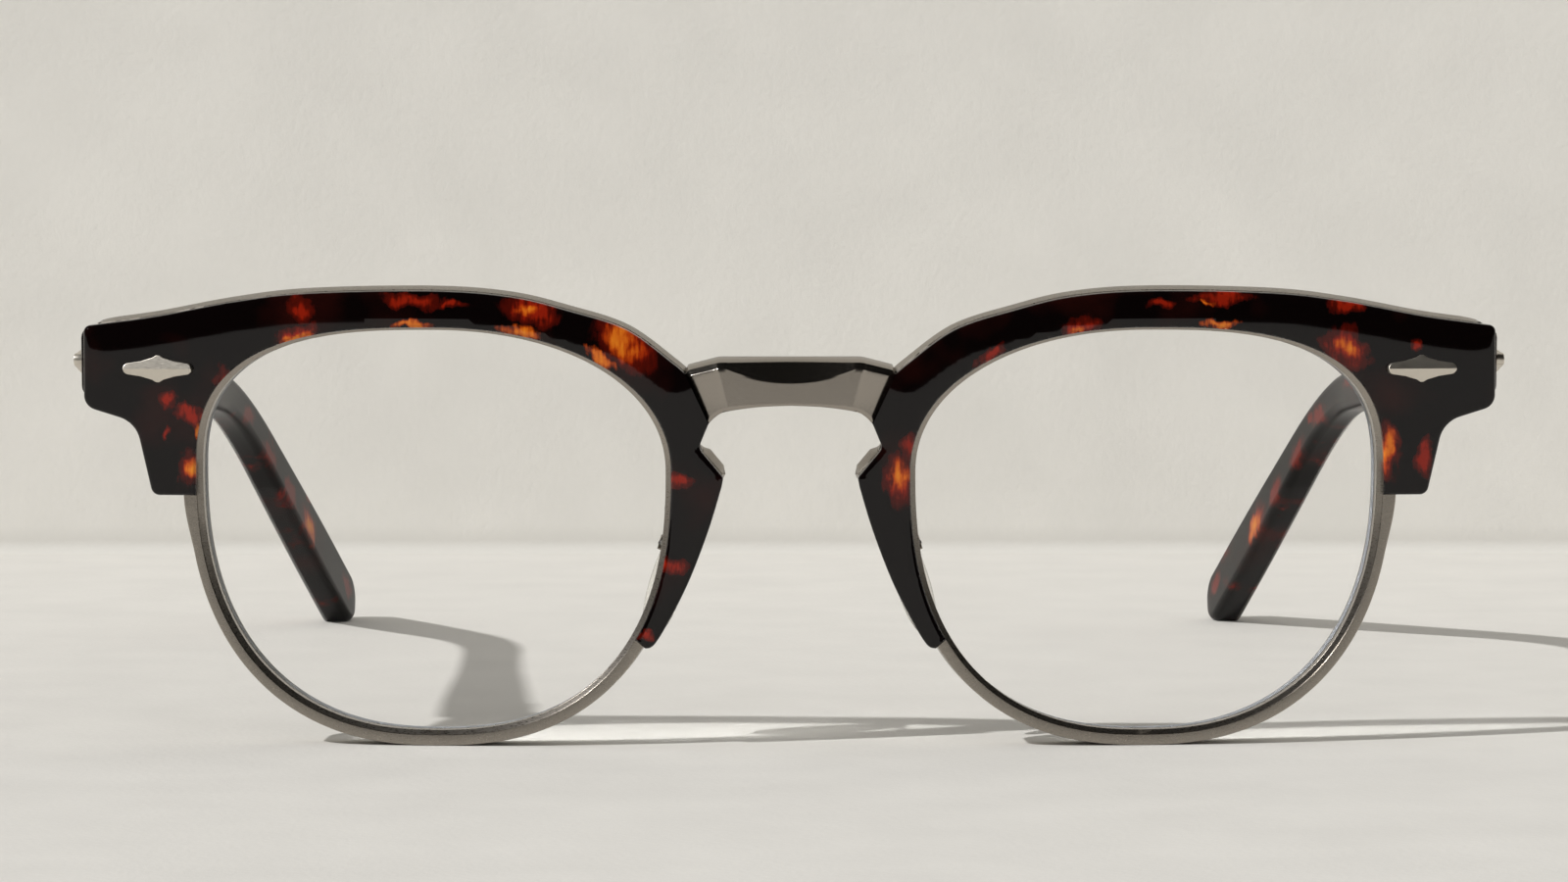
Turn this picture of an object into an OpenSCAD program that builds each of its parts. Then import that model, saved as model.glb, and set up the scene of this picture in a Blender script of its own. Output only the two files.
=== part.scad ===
// Browline glasses: acetate brows on a titanium front, with folding acetate temples.
// Millimetres. +Z is up, the front faces -Y and the temples run back along +Y.
// The glasses stand on their rims and temple tips at z = 0, and X = 0 is the mirror plane.
// Every paired piece is modelled on the wearer's left, at +X, and mirrored for the right.
// Depths are written from the bridge's front, and then all is centred between front and tips.

/* [Lens openings] */
// Width of each lens opening
lens_w = 47.05; // [45.65:0.2:48.45]
// Height of the opening above its widest level
lens_up = 14.3; // [13.6:0.1:15]
// Height of the opening below its widest level
lens_down = 26.2; // [25.4:0.2:27]
// Gap between the two openings at the nose
nose_gap = 25.3; // [24.5:0.1:26.5]

/* [Front] */
// Radius of the curve that wraps the front round the face
wrap_r = 450; // [400:10:500]
// Thickness of the acetate brows
brow_t = 3; // [2.8:0.1:3.2]
// Height of the brow above the lens opening
brow_h = 3.95; // [3.6:0.05:4.3]
// Overhang of the brow past the lens opening at the temple
brow_end = 11.9; // [11.6:0.05:12.5]
// Height of the brow's outer end
brow_end_h = 8.15; // [7.9:0.05:8.5]
// How far the temporal leg of the brow reaches below the top of the opening
leg_drop = 16.85; // [16.4:0.05:17.4]
// How far the nose leg of the brow reaches below the top of the opening
nose_leg_drop = 32.1; // [31.6:0.1:32.6]

/* [Metal chassis] */
// Width of the rim seen from the front
rim_w = 1.6; // [1.5:0.05:1.8]
// Extra width where the rim leaves the brow's temporal leg
rim_flare = 0.45; // [0:0.05:0.6]
// Depth of the rim's front face behind the brow's
rim_set = 0.9; // [0.7:0.1:1.1]
// Depth of the rim from front to back
rim_depth = 4; // [3.9:0.1:4.4]
// Width of the ledge inside the rim's front edge
rim_ledge = 0.5; // [0.4:0.05:0.6]
// Thickness of the plate behind each brow
plate_t = 1.2; // [1:0.1:1.4]
// How far the plate stands above the brow
plate_lip = 0.45; // [0.3:0.05:0.6]
// Height of the bridge at its middle
bridge_h = 4.8; // [4.4:0.1:5.2]
// Depth of the bridge's front face behind the brow's
bridge_set = 0.3; // [0.1:0.1:0.5]

/* [Lenses and nose pads] */
// Thickness of the lens
lens_t = 2; // [1.8:0.1:2.2]
// Radius of the lens's front surface
lens_r = 130; // [125:1:140]
// Length of a nose pad
pad_l = 13; // [12:0.5:14]
// Width of a nose pad
pad_w = 6.6; // [6.2:0.2:7.2]
// Thickness of a nose pad
pad_t = 1.7; // [1.5:0.1:1.9]
// Diameter of the wire of the pad arms
arm_d = 1; // [0.8:0.1:1.2]

/* [Temples] */
// Distance of the temple tip's centre behind the front
tip_y = 136.5; // [133:0.5:141]
// Distance of the bend behind the front
bend_y = 95; // [92:1:98]
// Thickness of the temple
temple_t = 3.7; // [3.5:0.1:3.9]
// Height of the temple at the hinge
temple_h = 7.2; // [6.8:0.1:7.6]
// Height of the temple where it is slimmest
waist_h = 4.5; // [4.3:0.1:5.3]
// Height of the temple at its tip
tip_h = 6.7; // [6.4:0.1:7.5]
// Bevel along the edges of the temple
temple_edge = 1.2; // [0.8:0.1:1.3]
// Slope of the temple's straight part
temple_drop = 5.7; // [5.3:0.1:6.1]
// Inward lean of the temple's straight part
temple_lean = 4.2; // [3.9:0.1:4.5]
// Inward lean of the temple behind the bend
tip_lean = 13; // [12:0.5:14]
// Width of the core wire
core_w = 2.2; // [1.8:0.1:2.4]
// Thickness of the core wire
core_t = 1; // [0.8:0.1:1.2]

/* [Hinges] */
// Radius of the hinge knuckles
knuckle_r = 1.3; // [1.2:0.05:1.4]
// Height of each of the five knuckles
knuckle_h = 1.1; // [1:0.05:1.2]
// Radius of the hinge screw
hinge_screw_r = 0.7; // [0.6:0.05:0.75]
// Thickness of the hinge leaves
leaf_t = 0.9; // [0.8:0.05:1]
// Length of the leaf on the temple
leaf_l = 11; // [10.5:0.5:12]

/* [Plaques and small fasteners] */
// Length of the plaque on the brow
plaque_l = 7.1; // [6.6:0.1:7.4]
// Height of the plaque on the brow
plaque_h = 2.8; // [2.6:0.1:3]
// Length of the plaque on the temple
side_plaque_l = 7.6; // [7.2:0.1:8]
// Height of the plaque on the temple
side_plaque_h = 3.1; // [2.9:0.1:3.3]
// How far the plaque on the brow stands proud
plaque_t = 0.75; // [0.6:0.05:0.85]
// How far the plaque on the temple stands proud
side_plaque_t = 1.3; // [1.1:0.05:1.4]
// Radius of the rivets of the plaques
rivet_r = 0.5; // [0.4:0.05:0.55]
// Radius of the brow screws
brow_screw_r = 0.55; // [0.45:0.05:0.6]
// Radius of the rim lock screws
lock_screw_r = 0.5; // [0.4:0.05:0.55]
// Radius of the pad screws
pad_screw_r = 0.4; // [0.35:0.05:0.45]

/* [Hidden] */

// Clearances
hair = 0.005;
seat = 0.02;
running = 0.05;
gap = 0.1;

// Squareness of the four quarters of the lens opening, where 2 is an ellipse
nasal_up_n = 2.13;
temporal_up_n = 2.75;
temporal_down_n = 2.35;
nasal_down_n = 2.45;
outline_steps = 96;
wrap_steps = 1440;

// Places that follow from the lens openings
nasal_x = nose_gap / 2;
eye_x = nasal_x + lens_w / 2;
temporal_x = nasal_x + lens_w;
wide_z = rim_w + lens_down;
top_z = wide_z + lens_up;
eye_z = (rim_w + top_z) / 2;
brow_x = temporal_x + brow_end;

// Depths behind the front surface of the brows
rim_back = rim_set + rim_depth;
plate_back = brow_t + plate_t;
groove_w = 0.8;
groove_d = 0.55;
groove_t = brow_t + 0.2 + groove_w / 2;
cut_depth = 12;
front_h = top_z + cut_depth;

// Bridge
bridge_top = top_z - 2.75;
bridge_half = 7.2;
bridge_foot = bridge_top - bridge_h;
joint_top_in = 1.95;
joint_top_drop = 4.2;
joint_foot_in = 4.4;
joint_foot_drop = 9.4;
joint_top = [nasal_x - joint_top_in, top_z - joint_top_drop];
joint_foot = [nasal_x - joint_foot_in, top_z - joint_foot_drop];
shoulder_in = 0.4;
shoulder_up = 0.65;
arch_half = 3.3;
arch_drop = 0.15;
arch_end_in = 1.8;
arch_end_drop = 0.6;
arch_foot_in = 0.75;
arch_foot_drop = 1.1;
wing_x = 7.5;
wing_set = 0.7;
wing_run = 3;
scoop_r = 22;
scoop_half = 17;
scoop_drop = 2.35;

// Fixings of the brow
plaque_x = temporal_x + 4.2;
plaque_z = top_z - 4;
rivet_pitch = 3.6;
screw_head_h = 0.45;
screw_head_r = 0.95;
slot_w = 0.24;
nose_screw = [nasal_x - 3.4, top_z - 15.8];
leg_screw = [temporal_x + 3.75, top_z - 8.9];
screw_tip_t = 0.9;

// Rim lock
lock_z = top_z - 13.9;
lock_h = 2;
lock_out = 3.7;
lock_back = brow_t + 2.4;
lock_cut = 0.12;

// Temple places
temple_out_x = brow_x + 0.9;
temple_in_x = temple_out_x - temple_t;
temple_mid_x = temple_out_x - temple_t / 2;
endpiece_t = 2.1;
butt_y = wrap_y(brow_x) + plate_back + endpiece_t;
temple_y = butt_y + running;
hinge_x = temple_in_x - leaf_t - 0.55;
hinge_y = butt_y + 0.4;
hinge_z = top_z - 3.7;
knuckle_pitch = knuckle_h + running;
stack_h = 5 * knuckle_h + 4 * running;
base_y = hinge_y - knuckle_r - 2 * gap;
leaf_y = hinge_y - butt_y + knuckle_r + 4 * gap;
bend_w = 12;
tip_flat = 0.3;
tip_z = tip_h / 2 - tip_flat;
bend_z = hinge_z - tan(temple_drop) * (bend_y - butt_y);
tip_slope = (bend_z - tip_z) / (tip_y - bend_y);
mid_y = (wrap_y(nasal_x - 5.9) + tip_y + tip_h / 2) / 2;
core_from = butt_y + leaf_l + 4;
core_to = tip_y - 9;
rivet_y = 0.4 + side_plaque_l / 2;
rivet_z = 0.25;
side_rivet_pitch = 4;

// Nose pads: the pivot in the front, and the turns that set the pad to the nose
pad_pivot = [nasal_x + 0.2, 8.8, top_z - 22.1];
pad_splay = 28;
pad_lean = 19;
pad_low = 3;
pad_off = 1;
ear_half = 0.4;
cheek_t = 0.4;
box_half = 0.85;
box_back = 0.85;

// Colours
titanium = [0.47, 0.44, 0.40];
silver = [0.78, 0.75, 0.70];
tortoise = [0.22, 0.09, 0.05];
clear = [0.85, 0.89, 0.90, 0.35];
silicone = [0.90, 0.90, 0.86, 0.6];
steel = [0.62, 0.62, 0.62];

// Distance that the wrapped front surface lies back at x, and the same at a depth in the front
function wrap_y(x) = wrap_r - sqrt(wrap_r * wrap_r - x * x);
function back_y(x, depth) = wrap_r - sqrt(pow(wrap_r - depth, 2) - x * x);

// Point of the lens opening at parameter a, moved out by d, in the eye's own frame
function eye_power(c, s) =
    c >= 0 ? (s >= 0 ? temporal_up_n : temporal_down_n)
           : (s >= 0 ? nasal_up_n : nasal_down_n);
function eye_point(a, d) =
    let (c = cos(a), s = sin(a))
    let (n = eye_power(c, s))
    let (half = lens_w / 2, tall = s >= 0 ? lens_up : lens_down)
    let (x = half * sign(c) * pow(abs(c), 2 / n))
    let (z = tall * sign(s) * pow(abs(s), 2 / n))
    let (gx = sign(c) * pow(abs(c), 2 - 2 / n) / half)
    let (gz = sign(s) * pow(abs(s), 2 - 2 / n) / tall)
    [x, wide_z + z] + d * [gx, gz] / norm([gx, gz]);
function eye_outline(d) =
    [for (i = [0 : outline_steps - 1]) eye_point((i + 0.5) * 360 / outline_steps, d)];

// Rim outside: the plain width, and the flare beside the temporal leg
function step_up(v) = let (u = min(max(v, 0), 1)) u * u * (3 - 2 * u);
function flare_at(a) = cos(a) > 0 ? rim_flare * step_up(1.3 - 5 * abs(sin(a))) : 0;
function rim_outline() =
    [for (i = [0 : outline_steps - 1])
        let (a = (i + 0.5) * 360 / outline_steps) eye_point(a, rim_w + flare_at(a))];

// Ledge inside the rim: wider beside the temple and narrower at the top
function ledge_at(a) =
    rim_ledge * (1 + 0.36 * pow(max(cos(a), 0), 2) - 0.5 * pow(max(sin(a), 0), 2));
function ledge_outline(grow) =
    [for (i = [0 : outline_steps - 1])
        let (a = (i + 0.5) * 360 / outline_steps) eye_point(a, ledge_at(a) + grow)];

// Smooth curve through points, and a rounded corner at b between a and c
function blend_at(p, q, r, s, u) =
    0.5 * (2 * q + (r - p) * u + (2 * p - 5 * q + 4 * r - s) * u * u
        + (3 * q - p - 3 * r + s) * u * u * u);
function curve(pts, n = 5) =
    let (last = len(pts) - 1)
    concat([for (i = [0 : last - 1]) for (k = [0 : n - 1])
        blend_at(pts[max(i - 1, 0)], pts[i], pts[i + 1], pts[min(i + 2, last)], k / n)],
        [pts[last]]);
function corner(a, b, c, r, n = 5) =
    let (u = (a - b) / norm(a - b), v = (c - b) / norm(c - b))
    let (half = acos(u * v) / 2)
    let (mid = (u + v) / norm(u + v))
    let (centre = b + mid * r / sin(half))
    let (from = b + u * r / tan(half) - centre, to = b + v * r / tan(half) - centre)
    let (turn = atan2(from[0] * to[1] - from[1] * to[0], from * to))
    [for (k = [0 : n])
        let (w = turn * k / n)
        centre + [from[0] * cos(w) - from[1] * sin(w), from[0] * sin(w) + from[1] * cos(w)]];

// Brow outline, seen from the front: top edge, outer end, temporal leg, nose leg
end_top = [brow_x, top_z + 0.25];
end_foot = [brow_x, end_top[1] - brow_end_h];
leg_root = [temporal_x + 6.6, top_z - 9.5];
leg_foot = [temporal_x + 4.9, top_z - leg_drop];
leg_in = [temporal_x - 3, top_z - leg_drop];
notch_in = [nasal_x - 3.4, top_z - 11.8];
notch_out = [nasal_x - 5.9, top_z - 14.8];
nose_tip = [nasal_x + 2, top_z - nose_leg_drop];
function brow_points() = concat(
    corner(leg_root, leg_foot, leg_in, 0.9),
    [leg_in],
    [[nasal_x + 6, top_z - 20]],
    corner([nasal_x + 6, top_z - 22], nose_tip + [1.2, 0.9], nose_tip + [-0.7, 0.3], 0.4, 3),
    curve([nose_tip + [0, 0], nose_tip + [-0.9, 0.4], nose_tip + [-2.4, 2.8],
        [nasal_x - 2.45, top_z - 25.2], [nasal_x - 4.4, top_z - 20.1],
        [nasal_x - 5.7, top_z - 15.8]], 3),
    corner([nasal_x - 5.7, top_z - 15.8], notch_out, notch_in, 0.5, 3),
    corner(notch_out, notch_in, joint_foot, 0.9, 4),
    [joint_foot, joint_top],
    curve([[nasal_x - 1.1, top_z - 3.5], [nasal_x + 3.8, top_z + 0.05],
        [nasal_x + 9.8, top_z + 0.51 * brow_h], [eye_x - 7.8, top_z + 0.86 * brow_h],
        [eye_x, top_z + brow_h], [eye_x + 12.5, top_z + 0.93 * brow_h],
        [temporal_x - 3.4, top_z + 0.7 * brow_h], [temporal_x + 4.3, top_z + 1.3],
        [brow_x - 2.2, top_z + 0.53]], 5),
    corner([brow_x - 2.2, top_z + 0.53], end_top, end_foot, 0.7),
    corner(end_top, end_foot, leg_root, 1.5),
    corner(end_foot, leg_root, leg_foot, 3)
);

// A layer of the wrapped front, between two depths behind the brows' front surface
module layer(front, back) {
    translate([0, wrap_r, -front_h / 4])
    difference() {
        cylinder(r = wrap_r - front, h = 1.5 * front_h, $fn = wrap_steps);
        translate([0, 0, -1])
        cylinder(r = wrap_r - back, h = 1.5 * front_h + 2, $fn = wrap_steps);
    }
}

// Turns a front-view outline into a bar from y = from to y = to
module bar(from = -cut_depth / 2, to = 1.5 * cut_depth) {
    translate([0, to, 0])
    rotate([90, 0, 0])
    linear_extrude(to - from)
    children();
}

// Places children on the wrapped surface at x and z, with +Y straight into the brow
module on_front(x, z = 0) {
    translate([0, wrap_r, 0])
    rotate([0, 0, asin(x / wrap_r)])
    translate([0, -wrap_r, z])
    children();
}

// The lens opening as a bar, d wider all round
module opening(d) {
    on_front(eye_x)
    bar()
    polygon(eye_outline(d));
}

// The opening out to the rim's inner ledge
module ledge_space(grow = 0) {
    on_front(eye_x)
    bar()
    polygon(ledge_outline(grow));
}

// A pin along +Y between two depths
module pin(r, from, to) {
    translate([0, from, 0])
    rotate([-90, 0, 0])
    cylinder(r = r, h = to - from, $fn = 48);
}

// A round rod between two points
module rod(a, b, r) {
    d = b - a;
    translate(a)
    rotate([0, acos(d[2] / norm(d)), atan2(d[1], d[0])])
    cylinder(r = r, h = norm(d), $fn = 48);
}

// Puts the origin under the middle of the glasses
module centred() {
    translate([0, -mid_y, 0])
    children();
}

module left() {
    centred()
    children();
}

module right() {
    centred()
    mirror([1, 0, 0])
    children();
}

// Bridge: a milled titanium bar with a scoop along its top and a facet on each wing
function bridge_points(side) = [
    [side * bridge_half, bridge_top],
    [side * (joint_top[0] - shoulder_in), joint_top[1] + shoulder_up],
    [side * joint_top[0], joint_top[1]],
    [side * joint_foot[0], joint_foot[1]]];
function under_bridge() =
    curve([[joint_foot[0], joint_foot[1]],
        [joint_foot[0] - arch_foot_in, bridge_foot - arch_foot_drop],
        [joint_foot[0] - arch_end_in, bridge_foot - arch_end_drop],
        [arch_half, bridge_foot - arch_drop],
        [0, bridge_foot],
        [-arch_half, bridge_foot - arch_drop],
        [arch_end_in - joint_foot[0], bridge_foot - arch_end_drop],
        [arch_foot_in - joint_foot[0], bridge_foot - arch_foot_drop],
        [-joint_foot[0], joint_foot[1]]], 4);
module bridge_outline() {
    left_edge = bridge_points(1);
    right_edge = bridge_points(-1);
    polygon(concat([for (i = [3 : -1 : 0]) right_edge[i]], left_edge, under_bridge()));
}

module bridge() {
    color(titanium)
    difference() {
        intersection() {
            layer(bridge_set, plate_back);
            bar() bridge_outline();
        }
        translate([0, bridge_set - sqrt(scoop_r * scoop_r - scoop_half * scoop_half),
            bridge_top - scoop_drop + scoop_half])
        sphere(r = scoop_r, $fn = 180);
        for (side = [-1, 1])
            wing_cut(side);
    }
}

module wing_cut(side) {
    far = 2 * wing_x;
    translate([0, 0, bridge_foot - bridge_h])
    linear_extrude(3 * bridge_h)
    polygon([[side * wing_x, wrap_y(wing_x) + bridge_set],
        [side * far, wrap_y(wing_x) + bridge_set + wing_set * (far - wing_x) / wing_run],
        [side * far, -brow_t], [side * wing_x, -brow_t]]);
}

// Space of a brow: its outline less the lens opening, through the acetate's thickness
module brow_space(front = 0) {
    difference() {
        intersection() {
            layer(front, brow_t);
            bar() polygon(brow_points());
        }
        ledge_space();
    }
}

// Rim: a closed titanium eyewire with a lens groove, cut through at the rim lock
module rim() {
    color(titanium)
    difference() {
        intersection() {
            layer(rim_set, rim_back);
            on_front(eye_x) bar() polygon(rim_outline());
        }
        opening(0);
        intersection() {
            layer(-1, rim_set + rim_ledge);
            ledge_space(hair);
        }
        intersection() {
            layer(groove_t - groove_w / 2, groove_t + groove_w / 2);
            opening(groove_d);
        }
        brow_space(-1);
        translate([temporal_x - 3, 0, lock_z - lock_cut / 2])
        cube([8, 2 * cut_depth, lock_cut]);
    }
}

// Brow: the acetate front piece, drilled for its rivets and screws
module brow() {
    color(tortoise)
    difference() {
        brow_space();
        brow_rivet_holes();
        brow_screw_holes(screw_tip_t - seat, plate_back);
    }
}

module brow_rivet_holes() {
    on_front(plaque_x, plaque_z)
    for (side = [-1, 1])
        translate([side * rivet_pitch / 2, 0, 0])
        pin(rivet_r + seat, -1, cut_depth);
}

module brow_screw_holes(from, to) {
    for (place = [nose_screw, leg_screw])
        on_front(place[0], place[1])
        pin(brow_screw_r + seat, from, to + 1);
}

// Plate behind the brow: it stands proud above the brow and at the nose notch
module plate_outline() {
    offset(delta = -0.35)
    polygon(brow_points());
    intersection() {
        offset(r = plate_lip, $fn = 24)
        polygon(brow_points());
        union() {
            translate([0, top_z - 5])
            polygon([[nasal_x - 4, 0], [nasal_x - 4, 12], [brow_x - 0.35, 12],
                [brow_x - 0.35, 4.2], [eye_x, 4.2], [nasal_x + 8, 0]]);
            polygon([joint_foot + [-3, 0.2], joint_foot + [3, 0.2], notch_in + [3, 0],
                [nasal_x - 3, top_z - 15.6], [nasal_x - 5.2, top_z - 15.2],
                [nasal_x - 8, top_z - 14.4]]);
        }
    }
}

module brow_plate() {
    color(titanium)
    difference() {
        intersection() {
            layer(brow_t, plate_back);
            bar() plate_outline();
        }
        on_front(eye_x) bar() polygon(rim_outline());
        opening(rim_w);
        bar() bridge_outline();
        translate([eye_x, -cut_depth, 0])
        cube([lens_w, 3 * cut_depth, lock_z + lock_h + gap]);
        brow_rivet_holes();
        brow_screw_holes(0, plate_back);
    }
}

// Lens: a thin curved lens with a tongue round its edge that sits in the rim's groove
lens_set = groove_t - 2.7;
module lens() {
    color(clear) {
        intersection() {
            on_front(eye_x, eye_z)
            translate([0, lens_set + lens_r, 0])
            difference() {
                sphere(r = lens_r, $fn = 180);
                sphere(r = lens_r - lens_t, $fn = 180);
            }
            opening(-seat);
        }
        difference() {
            intersection() {
                layer(groove_t - groove_w / 2 + seat, groove_t + groove_w / 2 - seat);
                opening(groove_d - seat);
            }
            opening(-0.4);
        }
    }
}

// Diamond plaque: a ridged shield with two rivets on its back
function plaque_points(l, h) =
    let (tip = 0.21 * h, shoulder = 0.28 * h, sx = 0.19 * l)
    let (quarter = concat(
        [for (a = [0 : 22.5 : 67.5]) [l / 2 - tip + tip * cos(a), tip * sin(a)]],
        [[sx + 0.35, shoulder], [sx, shoulder + 0.04 * h], [0.42 * sx, 0.4 * h], [0.12 * sx, 0.49 * h]]))
    concat(quarter,
        [for (i = [len(quarter) - 1 : -1 : 0]) [-quarter[i][0], quarter[i][1]]],
        [for (i = [1 : len(quarter) - 1]) [-quarter[i][0], -quarter[i][1]]],
        [for (i = [len(quarter) - 1 : -1 : 1]) [quarter[i][0], -quarter[i][1]]]);
module plaque_body(l, h, t) {
    side = 0.7 * t - 0.15 * h;
    intersection() {
        bar(-t, 0) polygon(plaque_points(l, h));
        translate([-l, 0, 0])
        rotate([90, 0, 90])
        linear_extrude(2 * l)
        polygon([[-t, 0], [-side, h / 2], [1, h / 2], [1, -h / 2], [-side, -h / 2]]);
    }
}

module brow_plaque() {
    color(silver)
    on_front(plaque_x, plaque_z) {
        plaque_body(plaque_l, plaque_h, plaque_t);
        for (side = [-1, 1])
            translate([side * rivet_pitch / 2, 0, 0])
            pin(rivet_r, -plaque_t / 3, plate_back);
    }
}

// Two screws that hold the brow from behind
module brow_screws() {
    color(steel)
    for (place = [nose_screw, leg_screw])
        on_front(place[0], place[1])
        difference() {
            union() {
                pin(brow_screw_r, screw_tip_t, plate_back + gap);
                pin(screw_head_r, plate_back + hair, plate_back + screw_head_h);
            }
            translate([-2 * screw_head_r, plate_back + screw_head_h / 2, -slot_w / 2])
            cube([4 * screw_head_r, screw_head_h, slot_w]);
        }
}

// Endpiece: the block behind the brow's outer end that carries the hinge and stops the temple
end_in_x = hinge_x - 3.2;
end_out_x = brow_x - 0.45;
end_low = hinge_z - stack_h / 2 - 0.5;
end_high = hinge_z + stack_h / 2 + 0.25;
module endpiece() {
    color(titanium)
    difference() {
        translate([0, 0, end_low])
        linear_extrude(end_high - end_low)
        polygon(concat(
            [for (x = stations(end_in_x, end_out_x, 8)) [x, back_y(x, plate_back + hair)]],
            [[end_out_x, butt_y], [end_in_x, butt_y]]));
        translate([end_in_x - 1, base_y - leaf_t, end_low - 1])
        cube([hinge_x + knuckle_r + gap - end_in_x + 1, 5, end_high - end_low + 2]);
    }
}

// Rim lock: two blocks brazed to the ends of the cut rim
module rim_lock() {
    color(titanium)
    difference() {
        intersection() {
            layer(brow_t, lock_back);
            translate([eye_x, -cut_depth, lock_z - lock_h])
            cube([temporal_x + lock_out - eye_x, 3 * cut_depth, 2 * lock_h]);
        }
        on_front(eye_x) bar() polygon(rim_outline());
        opening(rim_w);
        translate([eye_x, -cut_depth, lock_z - lock_cut / 2])
        cube([lens_w, 3 * cut_depth, lock_cut]);
        lock_pin(lock_screw_r + seat, lock_z - lock_h - 1, lock_z + lock_h + 1);
    }
}

lock_x = temporal_x + (rim_w + lock_out) / 2 + 0.25;
module lock_pin(r, low, high) {
    translate([lock_x, wrap_y(lock_x) + (brow_t + lock_back) / 2, low])
    cylinder(r = r, h = high - low, $fn = 48);
}

module rim_lock_screw() {
    color(steel)
    difference() {
        union() {
            lock_pin(lock_screw_r, lock_z - lock_h - gap, lock_z + lock_h);
            lock_pin(1.7 * lock_screw_r, lock_z - lock_h - screw_head_h, lock_z - lock_h);
        }
        translate([lock_x - 4 * lock_screw_r,
            wrap_y(lock_x) + (brow_t + lock_back) / 2 - slot_w / 2,
            lock_z - lock_h - 1.5 * screw_head_h])
        cube([8 * lock_screw_r, slot_w, screw_head_h]);
    }
}

// Hinge: knuckle number k of five counts from the bottom
module knuckle(k, bore) {
    translate([hinge_x, hinge_y, hinge_z - stack_h / 2 + k * knuckle_pitch])
    difference() {
        union() {
            cylinder(r = knuckle_r, h = knuckle_h, $fn = 64);
            children();
        }
        translate([0, 0, -1])
        cylinder(r = bore, h = knuckle_h + 2, $fn = 48);
    }
}

module front_hinge_leaf() {
    color(titanium) {
        translate([end_in_x + 0.4, base_y - leaf_t, hinge_z - stack_h / 2])
        cube([hinge_x + knuckle_r - end_in_x - 0.4, leaf_t, stack_h]);
        for (k = [0, 2, 4])
            knuckle(k, hinge_screw_r + seat)
            translate([-knuckle_r, base_y - hinge_y, 0])
            cube([1.7 * knuckle_r, hinge_y - base_y, knuckle_h]);
    }
}

module hinge_screw() {
    color(steel)
    translate([hinge_x, hinge_y, hinge_z - stack_h / 2])
    difference() {
        union() {
            cylinder(r = hinge_screw_r, h = stack_h, $fn = 48);
            translate([0, 0, stack_h])
            cylinder(r = 1.6 * hinge_screw_r, h = screw_head_h, $fn = 48);
        }
        translate([-3 * hinge_screw_r, -slot_w / 2, stack_h + screw_head_h / 2])
        cube([6 * hinge_screw_r, slot_w, screw_head_h]);
    }
}

// The temple's own frame: x = 0 on its inner face, +Y along its straight part
module on_temple() {
    translate([temple_in_x, butt_y, hinge_z])
    rotate([0, 0, temple_lean])
    rotate([-temple_drop, 0, 0])
    children();
}

module temple_rivets(r, from, to) {
    on_temple()
    for (side = [-1, 1])
        translate([from, rivet_y + side * side_rivet_pitch / 2, rivet_z])
        rotate([0, 90, 0])
        cylinder(r = r, h = to - from, $fn = 48);
}

module temple_hinge_leaf() {
    color(titanium)
    difference() {
        union() {
            on_temple()
            translate([-leaf_t, leaf_y, -stack_h / 2 + 0.3])
            cube([leaf_t - seat, leaf_l - leaf_y, stack_h - 0.6]);
            for (k = [1, 3])
                knuckle(k, hinge_screw_r + running)
                rotate([0, 0, temple_lean])
                cube([knuckle_r + 0.09, 2.6, knuckle_h]);
        }
        temple_rivets(rivet_r + seat, -leaf_t - 1, 1);
        for (k = [1, 3])
            translate([hinge_x, hinge_y, hinge_z - stack_h / 2 + k * knuckle_pitch - 0.01])
            cylinder(r = hinge_screw_r + running, h = knuckle_h + 0.02, $fn = 48);
    }
}

// Temple path: a straight part, a bend and a tip, in plan and from the side
function bend(v) = v < -bend_w ? 0 : v > bend_w ? v : (v + bend_w) * (v + bend_w) / (4 * bend_w);
function path_x(y) = temple_mid_x - tan(temple_lean) * (y - butt_y)
    - (tan(tip_lean) - tan(temple_lean)) * bend(y - bend_y);
function path_z(y) = hinge_z - tan(temple_drop) * (y - butt_y)
    - (tip_slope - tan(temple_drop)) * bend(y - bend_y);
function slope_z(y) = path_z(y + 0.5) - path_z(y - 0.5);
function slope_x(y) = path_x(y + 0.5) - path_x(y - 0.5);
function height_at(y) = temple_h
    - (temple_h - waist_h) * step_up((y - butt_y - 8) / 50)
    + (tip_h - waist_h) * step_up((y - bend_y + 6) / (tip_y - bend_y));

// Edge of the band at distance w from the path, seen from the side, from above or at 45 degrees
function edge_at(y, place, slope, w) = [y, place] + w * [-slope, 1] / norm([slope, 1]);
function side_edge(y, w) = edge_at(y, path_z(y), slope_z(y), w);
function slant_edge(y, w, s) =
    edge_at(y, (s * path_x(y) + path_z(y)) / sqrt(2), (s * slope_x(y) + slope_z(y)) / sqrt(2), w);
function plan_edge(y, w) =
    let (p = edge_at(y, path_x(y), slope_x(y), w)) [p[1], p[0]];
function stations(from, to, n) = [for (i = [0 : n]) from + (to - from) * i / n];

module temple() {
    color(tortoise)
    difference() {
        intersection() {
            temple_side();
            temple_slant(1);
            temple_slant(-1);
            temple_plan(temple_t / 2, butt_y - 1, tip_y + tip_h);
            translate([0, temple_y, 0])
            cube([2 * brow_x, 2 * tip_y, 2 * front_h]);
        }
        temple_rivets(rivet_r + seat, -1, temple_t + 1);
        core(seat);
    }
}

module temple_side() {
    ys = stations(butt_y - 1, tip_y, 36);
    r = tip_h / 2;
    lean = atan(slope_z(tip_y));
    rotate([90, 0, 90])
    linear_extrude(2 * brow_x)
    polygon(concat(
        [for (y = ys) side_edge(y, height_at(y) / 2)],
        [for (a = [75 : -15 : -75]) [tip_y, path_z(tip_y)] + r * [cos(a + lean), sin(a + lean)]],
        [for (i = [len(ys) - 1 : -1 : 0]) side_edge(ys[i], -height_at(ys[i]) / 2)]));
}

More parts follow.
